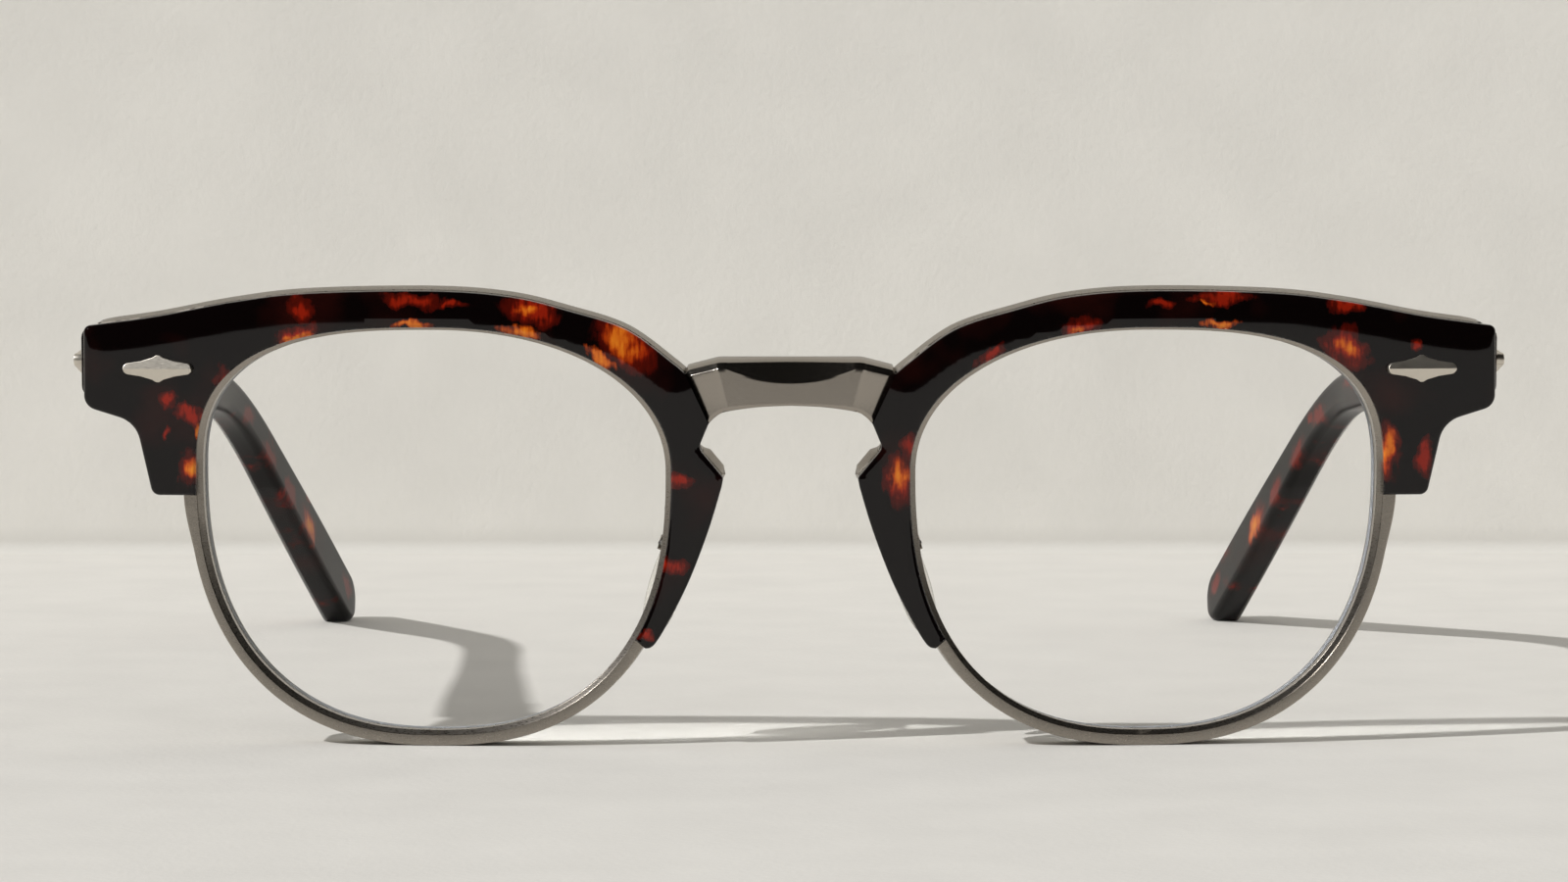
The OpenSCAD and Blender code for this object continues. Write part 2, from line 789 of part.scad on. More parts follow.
module temple_slant(s) {
    ys = stations(butt_y - 2, tip_y + tip_h, 36);
    half = [for (y = ys) (temple_t / 2 + height_at(y) / 2 - temple_edge) / sqrt(2)];
    rotate([0, s * 45, 0])
    translate([-2 * brow_x, 0, 0])
    rotate([90, 0, 90])
    linear_extrude(4 * brow_x)
    polygon(concat(
        [for (i = [0 : len(ys) - 1]) slant_edge(ys[i], half[i], s)],
        [for (i = [len(ys) - 1 : -1 : 0]) slant_edge(ys[i], -half[i], s)]));
}

module temple_plan(half, from, to) {
    ys = stations(from, to, 36);
    translate([0, 0, -front_h])
    linear_extrude(3 * front_h)
    polygon(concat(
        [for (y = ys) plan_edge(y, half)],
        [for (i = [len(ys) - 1 : -1 : 0]) plan_edge(ys[i], -half)]));
}

module core(grow = 0) {
    ys = stations(core_from - grow, core_to + grow, 30);
    half = core_w / 2 + grow;
    intersection() {
        rotate([90, 0, 90])
        linear_extrude(2 * brow_x)
        polygon(concat(
            [for (y = ys) side_edge(y, half)],
            [for (i = [len(ys) - 1 : -1 : 0]) side_edge(ys[i], -half)]));
        temple_plan(core_t / 2 + grow, core_from - 2, core_to + 2);
    }
}

module temple_core() {
    color(steel)
    core();
}

module temple_plaque() {
    color(silver) {
        on_temple()
        translate([temple_t + seat, rivet_y, rivet_z])
        rotate([0, 0, 90])
        plaque_body(side_plaque_l, side_plaque_h, side_plaque_t);
        temple_rivets(rivet_r, -leaf_t, temple_t + side_plaque_t / 3);
    }
}

// Nose pad frame: the pivot is the origin, -X faces the nose and Z runs along the pad
module on_pad() {
    translate(pad_pivot)
    rotate([0, 0, -pad_splay])
    rotate([0, -pad_lean, 0])
    children();
}

function pad_outline() =
    [for (i = [0 : 47])
        let (a = i * 7.5, c = cos(a), s = sin(a))
        [pad_w / 2 * c * (1 - 0.12 * s), -pad_low + pad_l / 2 * s]];

module nose_pad() {
    color(silicone)
    on_pad()
    difference() {
        union() {
            intersection() {
                translate([-pad_off - pad_t, 0, 0])
                rotate([90, 0, 90])
                linear_extrude(pad_t)
                polygon(pad_outline());
                translate([16 - pad_off - pad_t, 0, -pad_low])
                sphere(r = 16, $fn = 120);
            }
            translate([-pad_off - 0.3, -ear_half, -box_half + gap])
            cube([pad_off + 0.3, 2 * ear_half, 2 * (box_half - gap)]);
            translate([0, -ear_half, 0])
            rotate([-90, 0, 0])
            cylinder(r = box_half - gap, h = 2 * ear_half, $fn = 48);
        }
        pin(pad_screw_r + running, -3, 3);
    }
}

module pad_arm() {
    out = ear_half + gap;
    foot_x = nasal_x - 0.35;
    foot = [foot_x, wrap_y(foot_x) + rim_back, top_z - 18.2];
    knee = [foot_x + 0.5, foot[1] + 2.4, foot[2] - 0.6];
    color(titanium) {
        on_pad()
        difference() {
            union() {
                for (side = [-1, 1])
                    translate([-box_half, side > 0 ? out : -out - cheek_t, -box_half])
                    cube([box_half + box_back + cheek_t, cheek_t, 2 * box_half]);
                translate([box_back, -out - cheek_t, -box_half])
                cube([cheek_t, 2 * (out + cheek_t), 2 * box_half]);
            }
            pin(pad_screw_r + seat, -3, 3);
        }
        difference() {
            union() {
                translate(foot)
                rotate([-90, 0, 0])
                cylinder(r = arm_d / 2, h = knee[1] - foot[1], $fn = 48);
                translate([foot[0], knee[1], foot[2]])
                sphere(r = arm_d / 2 + seat, $fn = 48);
                rod([foot[0], knee[1], foot[2]], arm_end(), arm_d / 2);
            }
            on_pad()
            translate([-3, -out - cheek_t - 3, -4])
            cube([3 + box_back + cheek_t / 2, 2 * (out + cheek_t) + 6, 8]);
        }
    }
}

// Where the arm meets the back of the pad box
function turn_y(v, a) = [v[0] * cos(a) + v[2] * sin(a), v[1], v[2] * cos(a) - v[0] * sin(a)];
function turn_z(v, a) = [v[0] * cos(a) - v[1] * sin(a), v[0] * sin(a) + v[1] * cos(a), v[2]];
function arm_end() =
    pad_pivot + turn_z(turn_y([box_back + cheek_t / 2, 0, 0], -pad_lean), -pad_splay);

module pad_screw() {
    out = ear_half + gap + cheek_t;
    color(steel)
    on_pad()
    difference() {
        union() {
            pin(pad_screw_r, -out, out + gap);
            pin(1.7 * pad_screw_r, out, out + 0.8 * screw_head_h);
        }
        translate([-4 * pad_screw_r, out + 0.4 * screw_head_h, -slot_w / 2])
        cube([8 * pad_screw_r, screw_head_h, slot_w]);
    }
}

centred() bridge();
left() rim();  // left_rim
left() brow_plate();  // left_brow_plate
left() brow();  // left_brow
left() lens();  // left_lens
left() brow_plaque();  // left_brow_plaque
left() brow_screws();  // left_brow_screws
left() endpiece();  // left_endpiece
left() rim_lock();  // left_rim_lock
left() rim_lock_screw();  // left_rim_lock_screw
left() front_hinge_leaf();  // left_front_hinge_leaf
left() hinge_screw();  // left_hinge_screw
left() pad_arm();  // left_pad_arm
left() pad_screw();  // left_pad_screw
left() nose_pad();  // left_nose_pad
left() temple();  // left_temple
left() temple_core();  // left_temple_core
left() temple_plaque();  // left_temple_plaque
left() temple_hinge_leaf();  // left_temple_hinge_leaf
right() rim();  // right_rim
right() brow_plate();  // right_brow_plate
right() brow();  // right_brow
right() lens();  // right_lens
right() brow_plaque();  // right_brow_plaque
right() brow_screws();  // right_brow_screws
right() endpiece();  // right_endpiece
right() rim_lock();  // right_rim_lock
right() rim_lock_screw();  // right_rim_lock_screw
right() front_hinge_leaf();  // right_front_hinge_leaf
right() hinge_screw();  // right_hinge_screw
right() pad_arm();  // right_pad_arm
right() pad_screw();  // right_pad_screw
right() nose_pad();  // right_nose_pad
right() temple();  // right_temple
right() temple_core();  // right_temple_core
right() temple_plaque();  // right_temple_plaque
right() temple_hinge_leaf();  // right_temple_hinge_leaf
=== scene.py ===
"""Browline glasses: acetate brows on a pewter-coloured titanium front, with folding temples."""

import math

import bmesh
import bpy
from mathutils import Matrix, Vector
from mathutils.geometry import intersect_line_line_2d


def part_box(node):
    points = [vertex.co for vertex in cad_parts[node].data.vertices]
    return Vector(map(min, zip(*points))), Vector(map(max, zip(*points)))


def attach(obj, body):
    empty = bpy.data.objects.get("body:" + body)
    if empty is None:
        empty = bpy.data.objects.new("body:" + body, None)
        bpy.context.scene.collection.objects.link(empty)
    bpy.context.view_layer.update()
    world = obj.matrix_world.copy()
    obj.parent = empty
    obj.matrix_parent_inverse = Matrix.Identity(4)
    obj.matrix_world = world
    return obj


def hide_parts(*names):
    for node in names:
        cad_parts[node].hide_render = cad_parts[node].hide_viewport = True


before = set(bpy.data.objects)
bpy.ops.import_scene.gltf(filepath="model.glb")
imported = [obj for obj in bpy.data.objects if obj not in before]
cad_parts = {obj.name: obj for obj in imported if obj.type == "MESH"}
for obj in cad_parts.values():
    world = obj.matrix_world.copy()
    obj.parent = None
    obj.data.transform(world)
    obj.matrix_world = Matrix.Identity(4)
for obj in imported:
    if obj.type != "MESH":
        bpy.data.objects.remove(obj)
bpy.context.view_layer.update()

# The view of the photograph: a long lens, a little above the glasses and to the
# picture's left of their middle, turned down to them.
MM = 0.001
CAMERA_PLACE = (-4.9, -671.9, 70.1)
CAMERA_PITCH = 3.713
CAMERA_YAW = 0.403
CAMERA_LENS = 137.8
CAMERA_SENSOR = 36

camera = bpy.data.objects.new("camera", bpy.data.cameras.new("camera"))
camera.data.lens = CAMERA_LENS
camera.data.sensor_width = CAMERA_SENSOR
camera.data.clip_start = 0.05
camera.location = Vector(CAMERA_PLACE) * MM
camera.rotation_euler = (math.radians(90 - CAMERA_PITCH), 0, math.radians(-CAMERA_YAW))
bpy.context.scene.collection.objects.link(camera)
bpy.context.scene.camera = camera
bpy.context.scene.view_settings.view_transform = "Standard"


# The stone-like table and the wall behind it: pale, matt and slightly mottled. They meet a
# little behind the temples, and the table ends some way in front, where the room is dark.
# The wall lets a camera behind it see through.
TABLE_HEX = "#D9D6D0"
WALL_HEX = "#E7E4DD"
# Across the cove the wall's foot fades up from a tone a little darker than the table's into the wall's own:
# painted shade in the corner where wall and table meet.
COVE_SHADE_HEX = "#D6D3CC"
TABLE_FRONT = -1.9
WALL_Y = 0.165
WALL_UP = 0.6
COVE_R = 0.002
STAGE_HALF = 2.5
MOTTLE_MM = 14
GRIT_MM = 0.9
GRIT_HIGH_MM = 0.2


def linear(hex_colour):
    """An sRGB hex colour as a linear RGBA tuple."""
    parts = [int(hex_colour[i:i + 2], 16) / 255 for i in (1, 3, 5)]
    return (*[c / 12.92 if c <= 0.04045 else ((c + 0.055) / 1.055) ** 2.4 for c in parts], 1)


def add_node(material, kind, links=(), stops=(), easing="LINEAR", **settings):
    """Adds a node: settings that name a property set it, and those after them set inputs.
    The stops of a colour ramp are pairs of a place and a colour."""
    node = material.node_tree.nodes.new("ShaderNode" + kind)
    if stops:
        node.color_ramp.interpolation = easing
        while len(node.color_ramp.elements) < len(stops):
            node.color_ramp.elements.new(1)
        for element, (place, colour) in zip(node.color_ramp.elements, stops):
            element.position, element.color = place, colour
    for name, value in settings.items():
        if hasattr(node, name):
            setattr(node, name, value)
        else:
            key = int(name[1:]) if name[1:].isdigit() else name.replace("_", " ")
            node.inputs[key].default_value = value
    for target, source in dict(links).items():
        material.node_tree.links.new(source, node.inputs[target])
    return node


def new_material(name, **shader):
    """A material with its Principled shader, whose sockets are set from the keywords."""
    material = bpy.data.materials.new(name)
    material.use_nodes = True
    body = material.node_tree.nodes["Principled BSDF"]
    for key, value in shader.items():
        body.inputs[key.replace("_", " ")].default_value = value
    return material, body


def join(material, source, target):
    material.node_tree.links.new(source, target)


def shifted(hex_colour, factor):
    """A colour made lighter or darker by a factor."""
    colour = linear(hex_colour)
    return (colour[0] * factor, colour[1] * factor, colour[2] * factor, 1)


def plaster(name, hex_colour, foot_shade_hex=None):
    """Fine matt plaster: large soft mottles and a fine grit. Its foot may get a darker tone: painted shade.
    """
    material, body = new_material(name, Roughness=0.9, Specular_IOR_Level=0.1)
    place = add_node(material, "TexCoord").outputs["Object"]
    mottle = add_node(material, "TexNoise", {"Vector": place}, Scale=1 / (MOTTLE_MM * MM), Detail=5.0)
    colour = add_node(material, "ValToRGB", {0: mottle.outputs[0]}, [
        (0.3, shifted(hex_colour, 0.965)), (0.7, shifted(hex_colour, 1.02))]).outputs["Color"]
    grit = add_node(material, "TexNoise", {"Vector": place}, Scale=1 / (GRIT_MM * MM), Detail=4.0)
    bump = add_node(material, "Bump", {"Height": grit.outputs[0]}, Strength=0.25,
        Distance=GRIT_HIGH_MM * MM)
    # Painted shade: the foot is mixed towards the darker foot colour, fading out over the cove's height.
    if foot_shade_hex:
        up = add_node(material, "SeparateXYZ", {0: place}).outputs["Z"]
        share = add_node(material, "MapRange", {"Value": up}, From_Max=2 * COVE_R)
        colour = add_node(material, "MixRGB", {0: share.outputs[0], 2: colour},
            i1=linear(foot_shade_hex)).outputs[0]
    join(material, colour, body.inputs["Base Color"])
    join(material, bump.outputs[0], body.inputs["Normal"])
    return material


def add_object(name, bm, material):
    """Turns a mesh that was built into a smooth object of the scene."""
    mesh = bpy.data.meshes.new(name)
    bm.to_mesh(mesh)
    bm.free()
    mesh.shade_smooth()
    mesh.materials.append(material)
    made = bpy.data.objects.new(name, mesh)
    bpy.context.scene.collection.objects.link(made)
    return made


def stage_sheet(name, material, profile):
    """A wide sheet along a profile of y and z."""
    bm = bmesh.new()
    lines = [[bm.verts.new((x, y, z)) for y, z in profile] for x in (-STAGE_HALF, STAGE_HALF)]
    for a, b, c, d in zip(lines[0], lines[0][1:], lines[1], lines[1][1:]):
        bm.faces.new((a, c, d, b))
    sheet = add_object(name, bm, material)
    return sheet


def unit(turn):
    """Cosine and sine of an angle in degrees."""
    return math.cos(math.radians(turn)), math.sin(math.radians(turn))


cove = [(WALL_Y - COVE_R * (1 - s), COVE_R * (1 - c)) for c, s in map(unit, range(0, 91, 10))]
stage_sheet("table", plaster("pale plaster table", TABLE_HEX), [(TABLE_FRONT, 0)] + cove[:1])
wall = stage_sheet("wall", plaster("pale plaster wall", WALL_HEX, COVE_SHADE_HEX),
    cove + [(WALL_Y, WALL_UP)])
wall_look = wall.data.materials[0]
behind = add_node(wall_look, "Math", {0: add_node(wall_look, "NewGeometry").outputs["Backfacing"],
    1: add_node(wall_look, "LightPath").outputs["Is Camera Ray"]}, operation="MULTIPLY")
one_sided = add_node(wall_look, "MixShader", {0: behind.outputs[0],
    1: wall_look.node_tree.nodes["Principled BSDF"].outputs[0],
    2: add_node(wall_look, "BsdfTransparent").outputs[0]})
join(wall_look, one_sided.outputs[0], wall_look.node_tree.nodes["Material Output"].inputs["Surface"])


# Lamps: a key from the picture's front left, which throws the shadows to the right, and a
# soft even fill. What shines sees a room that is dark in front and above, pale elsewhere,
# and past the table's edge a camera sees the table's own tone.
KEY_FROM = Vector((-1.0, -0.48, 1.0))
KEY_STRENGTH = 2.62
KEY_SOFTNESS = 1.6
FILL_HEX = "#F4F5F6"
FILL_STRENGTH = 0.45
ROOM_HEX = "#D6D2CA"
ROOM_TILT = 0.7
ROOM_SHIFT = 0.4

key = bpy.data.objects.new("key", bpy.data.lights.new("key", "SUN"))
key.data.energy = KEY_STRENGTH
key.data.angle = math.radians(KEY_SOFTNESS)
key.rotation_euler = KEY_FROM.to_track_quat("Z", "Y").to_euler()
bpy.context.scene.collection.objects.link(key)

world = bpy.data.worlds.new("room")
bpy.context.scene.world = world
world.use_nodes = True
seen = world.node_tree.nodes["Background"]
direction = add_node(world, "TexCoord").outputs["Generated"]
along = add_node(world, "SeparateXYZ", {0: direction})
ahead = add_node(world, "Math", {0: along.outputs["Y"]}, operation="MULTIPLY", i1=-1.0)
above = add_node(world, "Math", {0: along.outputs["Z"], 2: ahead.outputs[0]},
    operation="MULTIPLY_ADD", i1=ROOM_TILT)
level = add_node(world, "Math", {0: above.outputs[0]}, operation="ADD", i1=ROOM_SHIFT)
room = add_node(world, "ValToRGB", {0: level.outputs[0]}, [
    (0.2, linear(ROOM_HEX)), (0.42, shifted(ROOM_HEX, 0.3)), (0.65, shifted(ROOM_HEX, 0.02))])
join(world, room.outputs["Color"], seen.inputs["Color"])
fill = add_node(world, "Background", Color=linear(FILL_HEX), Strength=FILL_STRENGTH)
ray = add_node(world, "LightPath")
both = add_node(world, "MixShader", {0: ray.outputs["Is Diffuse Ray"],
    1: seen.outputs[0], 2: fill.outputs[0]})
beyond_table = add_node(world, "Background", Color=linear(TABLE_HEX))
all_round = add_node(world, "MixShader", {0: ray.outputs["Is Camera Ray"],
    1: both.outputs[0], 2: beyond_table.outputs[0]})
join(world, all_round.outputs[0], world.node_tree.nodes["World Output"].inputs["Surface"])


# Titanium front: a closed eyewire round each lens, milled from sheet and satin polished to a
# pewter tone. It has a flat front band, a bevel, a ledge inside it and a groove for the lens.
WRAP_R = 450
LENS_W = 47.05
LENS_UP = 14.3
LENS_DOWN = 26.2
NOSE_GAP = 25.3
RIM_W = 1.6
RIM_FLARE = 0.45
RIM_SET = 0.9
RIM_DEPTH = 4
RIM_LEDGE = 0.5
LEDGE_DEEP = 0.2
RIM_EDGE = 0.14
GROOVE_DEEP = 0.55
GROOVE_FRONT, GROOVE_BACK = 3.2, 4
NASAL_UP, TEMPORAL_UP, TEMPORAL_DOWN, NASAL_DOWN = 2.13, 2.75, 2.35, 2.45
RIM_STEPS = 240
BRIDGE_SET = 0.3
PEWTER_HEX = "#A09990"
SATIN, POLISH = 0.3, 0.17
GRAIN_MM = 0.35
GRAIN_HIGH_MM = 0.02

nasal_x = NOSE_GAP / 2
eye_x = nasal_x + LENS_W / 2
temporal_x = nasal_x + LENS_W
wide_z = RIM_W + LENS_DOWN
top_z = wide_z + LENS_UP
front_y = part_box("bridge")[0].y / MM - BRIDGE_SET


def wrapped(x, depth):
    """Depth of the wrapped front at x, behind the bridge's front."""
    return WRAP_R - math.sqrt((WRAP_R - depth) ** 2 - x * x)


def in_front(x, depth, z):
    """A point of the front from its front view and its depth in the sheet."""
    return Vector((x, front_y + wrapped(x, depth), z)) * MM


def from_axis(u, away, z):
    """A point from its place in the eye's own view and its distance from the wrap's axis."""
    turn = math.asin(eye_x / WRAP_R)
    return Vector((u * math.cos(turn) + away * math.sin(turn),
        front_y + WRAP_R - away * math.cos(turn) + u * math.sin(turn), z)) * MM


def at_eye(u, depth, z):
    """A point of the wrapped front from its place in the eye's own view."""
    return from_axis(u, WRAP_R - wrapped(u, depth), z)


def eye_point(turn, out):
    """Point of the lens opening at an angle in degrees, moved out by a width."""
    c, s = unit(turn)
    power = (TEMPORAL_UP if s >= 0 else TEMPORAL_DOWN) if c >= 0 else (
        NASAL_UP if s >= 0 else NASAL_DOWN)
    half, tall = LENS_W / 2, LENS_UP if s >= 0 else LENS_DOWN
    sx, sz = math.copysign(1, c), math.copysign(1, s)
    x, z = half * sx * abs(c) ** (2 / power), tall * sz * abs(s) ** (2 / power)
    gx, gz = sx * abs(c) ** (2 - 2 / power) / half, sz * abs(s) ** (2 - 2 / power) / tall
    size = math.hypot(gx, gz)
    return x + out * gx / size, wide_z + z + out * gz / size


def smooth_step(value):
    """Rises from 0 to 1 with level ends, as the value does."""
    u = min(max(value, 0), 1)
    return u * u * (3 - 2 * u)


def flare(turn):
    """How much wider the rim is just below the temporal leg."""
    c, s = unit(turn)
    return RIM_FLARE * smooth_step(1.3 - 5 * abs(s)) if c > 0 else 0


def ledge(turn):
    """Width of the step inside the front band: widest at the temple, slim above."""
    c, s = unit(turn)
    return RIM_LEDGE * (1 + 0.36 * max(c, 0) ** 2 - 0.5 * max(s, 0) ** 2)


def bridge_rows(bm, rows, closed=True, loop=False):
    """Joins rows of points, each to the next, with faces, and closes the open ends."""
    rings = [[bm.verts.new(p) for p in row] for row in rows]
    for first, second in zip(rings, rings[1:] + rings[:1] if loop else rings[1:]):
        for i in range(len(first) if closed else len(first) - 1):
            j = (i + 1) % len(first)
            bm.faces.new((first[i], first[j], second[j], second[i]))
    bmesh.ops.holes_fill(bm, edges=[e for e in bm.edges if e.is_boundary], sides=0)


def add_piece(name, bm, material, body, nodes, side=1):
    """Finishes a mesh as a piece of the object, mirrored for the wearer's right."""
    if side < 0:
        bmesh.ops.scale(bm, vec=(-1, 1, 1), verts=bm.verts)
    bmesh.ops.remove_doubles(bm, verts=bm.verts, dist=0.002 * MM)
    bmesh.ops.recalc_face_normals(bm, faces=bm.faces)
    piece = add_object(name, bm, material)
    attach(piece, body)
    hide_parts(*nodes)
    return piece


def even_shading(piece):
    """Keeps flat faces flat beside their small rounded edges."""
    weight = piece.modifiers.new("weighted", "WEIGHTED_NORMAL")
    weight.weight = 100
    weight.keep_sharp = True


def satin_metal(name, hex_colour, roughness, grain_mm=GRAIN_MM, grain=0.1):
    """Satin polished metal. Its fine polishing lines spread the reflections a little unevenly;
    they are drawn coarser than real ones, so that they show."""
    material, body = new_material(name, Base_Color=linear(hex_colour), Metallic=1.0)
    place = add_node(material, "TexCoord").outputs["Object"]
    stretched = add_node(material, "Mapping", {0: place}, Scale=(1, 1, 6))
    lines = add_node(material, "TexNoise", {"Vector": stretched.outputs[0]},
        Scale=1 / (grain_mm * MM), Detail=4.0)
    gloss = add_node(material, "MapRange", {"Value": lines.outputs[0]},
        From_Min=0.3, From_Max=0.7, To_Min=roughness * 0.8, To_Max=roughness * 1.25)
    bump = add_node(material, "Bump", {"Height": lines.outputs[0]}, Strength=grain,
        Distance=GRAIN_HIGH_MM * MM)
    join(material, gloss.outputs[0], body.inputs["Roughness"])
    join(material, bump.outputs[0], body.inputs["Normal"])
    return material


# Titanium with a pewter-coloured plating: greyish, with broad soft reflections.
pewter = satin_metal("satin titanium", PEWTER_HEX, SATIN, grain=0.12)


def rim_rows(turns):
    """The rim's section at each turn: band, bevel, ledge, wall, groove and back."""
    back = RIM_SET + RIM_DEPTH

    def section(turn):
        outer, step, e = RIM_W + flare(turn), ledge(turn), RIM_EDGE
        return [(outer, RIM_SET + e), (outer - e * 0.3, RIM_SET + e * 0.3), (outer - e, RIM_SET),
            (step + 0.04, RIM_SET), (step, RIM_SET + 0.05), (step, RIM_SET + LEDGE_DEEP - 0.03),
            (step - 0.03, RIM_SET + LEDGE_DEEP), (0.05, RIM_SET + LEDGE_DEEP + 0.02),
            (0, RIM_SET + LEDGE_DEEP + 0.07),
            (0, GROOVE_FRONT), (GROOVE_DEEP, GROOVE_FRONT), (GROOVE_DEEP, GROOVE_BACK), (0, GROOVE_BACK),
            (0, back - e), (e * 0.3, back - e * 0.3), (e, back), (outer - e, back),
            (outer - e * 0.3, back - e * 0.3), (outer, back - e)]

    rows = []
    for corner in zip(*(section(turn) for turn in turns)):
        row = []
        for turn, (out, depth) in zip(turns, corner):
            u, z = eye_point(turn, out)
            row.append(at_eye(u, depth, z))
        rows.append(row)
    return rows


SIDES = (("left", 1), ("right", -1))
turns = [(i + 0.5) * 360 / RIM_STEPS for i in range(RIM_STEPS)]
for name, side in SIDES:
    bm = bmesh.new()
    bridge_rows(bm, rim_rows(turns), loop=True)
    even_shading(add_piece(name + "_eyewire", bm, pewter, "front", [name + "_rim"], side))


# Acetate brows: cut from tortoise sheet, rounded at the edges and tumbled to a deep gloss.
# The front is almost flat and rolls away along the top edge.
BROW_T = 3
BROW_H = 3.95
BROW_END = 11.9
BROW_END_H = 8.15
LEG_DROP = 16.85
NOSE_LEG_DROP = 32.1
BROW_EDGE = 0.42
BROW_BACK_EDGE = 0.1
ROLL_WIDE = 3.0
ROLL_DEEP = 0.26
GRID = 0.7
SAME_LINE = 0.02
brow_x = temporal_x + BROW_END


def rounded(a, b, c, radius, steps=6):
    """Points of the round corner at b, between a and c."""
    a, b, c = Vector(a), Vector(b), Vector(c)
    u, v = (a - b).normalized(), (c - b).normalized()
    half = u.angle(v) / 2
    centre = b + (u + v).normalized() * radius / math.sin(half)
    start, end = b + u * radius / math.tan(half) - centre, b + v * radius / math.tan(half) - centre
    turn = math.atan2(start.x * end.y - start.y * end.x, start.dot(end))
    return [centre + Matrix.Rotation(turn * k / steps, 2) @ start for k in range(steps + 1)]


def flowing(points, steps=6):
    """A smooth curve through points."""
    points = [Vector(p) for p in points]
    last = len(points) - 1
    found = []
    for i in range(last):
        p, q, r, s = points[max(i - 1, 0)], points[i], points[i + 1], points[min(i + 2, last)]
        for k in range(steps):
            u = k / steps
            found.append(0.5 * (2 * q + (r - p) * u + (2 * p - 5 * q + 4 * r - s) * u * u
                + (3 * q - p - 3 * r + s) * u ** 3))
    return found + [points[last]]


def nose(x, z):
    """A point of the front view, from the lens opening's nasal side and the rim's top."""
    return nasal_x + x, top_z + z


joint = [Vector(nose(-4.4, -9.4)), Vector(nose(-1.95, -4.2))]


def brow_top():
    """The brow's top edge from the bridge to the outer end."""
    return flowing([nose(-1.1, -3.5), nose(3.8, 0.05), nose(9.8, 0.51 * BROW_H),
        (eye_x - 7.8, top_z + 0.86 * BROW_H), (eye_x, top_z + BROW_H),
        (eye_x + 12.5, top_z + 0.93 * BROW_H), (temporal_x - 3.4, top_z + 0.7 * BROW_H),
        (temporal_x + 4.3, top_z + 1.3), (brow_x - 2.2, top_z + 0.53)], 8)


def brow_outline():
    """The brow's edge from the inside of its temporal leg, past the end and the top to the nose."""
    end_top = (brow_x, top_z + 0.25)
    end_foot = (brow_x, top_z + 0.25 - BROW_END_H)
    leg_root = (temporal_x + 6.6, top_z - 9.5)
    leg_foot = (temporal_x + 4.9, top_z - LEG_DROP)
    leg_in = (temporal_x - 3, top_z - LEG_DROP)
    notch_in, notch_out, slope = nose(-3.4, -11.8), nose(-5.9, -14.8), nose(-5.7, -15.8)
    tip = (nasal_x + 2, top_z - NOSE_LEG_DROP)
    return (rounded(leg_root, leg_foot, leg_in, 0.9) + [Vector(leg_in), Vector(nose(6, -20))]
        + rounded(nose(6, -22), (tip[0] + 1.2, tip[1] + 0.9), (tip[0] - 0.7, tip[1] + 0.3), 0.4, 4)
        + flowing([tip, (tip[0] - 0.9, tip[1] + 0.4), (tip[0] - 2.4, tip[1] + 2.8),
            nose(-2.45, -25.2), nose(-4.4, -20.1), slope], 6)
        + rounded(slope, notch_out, notch_in, 0.5, 5) + rounded(notch_out, notch_in, joint[0], 0.9, 5)
        + joint + brow_top()
        + rounded((brow_x - 2.2, top_z + 0.53), end_top, end_foot, 0.7, 8)
        + rounded(end_top, end_foot, leg_root, 1.5, 8)
        + rounded(end_foot, leg_root, leg_foot, 3, 8))


def region(outer, out, depth):
    """An outline of the front, less the opening moved out by a width that varies with the turn."""
    inner = []
    for turn in turns:
        u, z = eye_point(turn, out(turn))
        inner.append(Vector((at_eye(u, depth, z).x / MM, z)))
    crossings = []
    for i, a in enumerate(outer):
        b = outer[(i + 1) % len(outer)]
        for j, c in enumerate(inner):
            met = intersect_line_line_2d(a, b, c, inner[(j + 1) % len(inner)])
            if met:
                crossings.append((i, j, met))
    leg_side, nose_side = crossings[0], crossings[-1]
    kept = outer[nose_side[0] + 1:] + outer[:leg_side[0] + 1]
    steps = (nose_side[1] - leg_side[1]) % len(inner)
    over = [inner[(leg_side[1] + 1 + k) % len(inner)] for k in range(steps)]
    return [nose_side[2]] + kept + [leg_side[2]] + over


def nearest(point, line):
    """The point of a line of points that is nearest to a point."""
    return min((closest_on(point, a, b) for a, b in zip(line, line[1:])),
        key=lambda p: (p - point).length_squared)


def away_from_line(point, line):
    """How far a point is from a line of points."""
    return (point - nearest(point, line)).length


def closest_on(point, a, b):
    """The point from a to b that is nearest to a point."""
    along = b - a
    share = (point - a).dot(along) / max(along.length_squared, 1e-12)
    return a + along * min(max(share, 0), 1)


def cut_along(bm, place, normal):
    """Cuts the faces that a plane crosses."""
    bmesh.ops.bisect_plane(bm, geom=bm.verts[:] + bm.edges[:] + bm.faces[:], dist=1e-7,
        plane_co=place, plane_no=normal)


def cut_into_grid(bm, spacing):
    """Cuts the faces along a grid in the front view, so that they can follow a curve."""
    for axis in (0, 2):
        values = [v.co[axis] for v in bm.verts]
        place = min(values) + spacing * 0.61
        while place < max(values) - spacing * 0.3:
            normal = Vector((axis == 0, 0, axis == 2))
            cut_along(bm, normal * place, normal)
            place += spacing


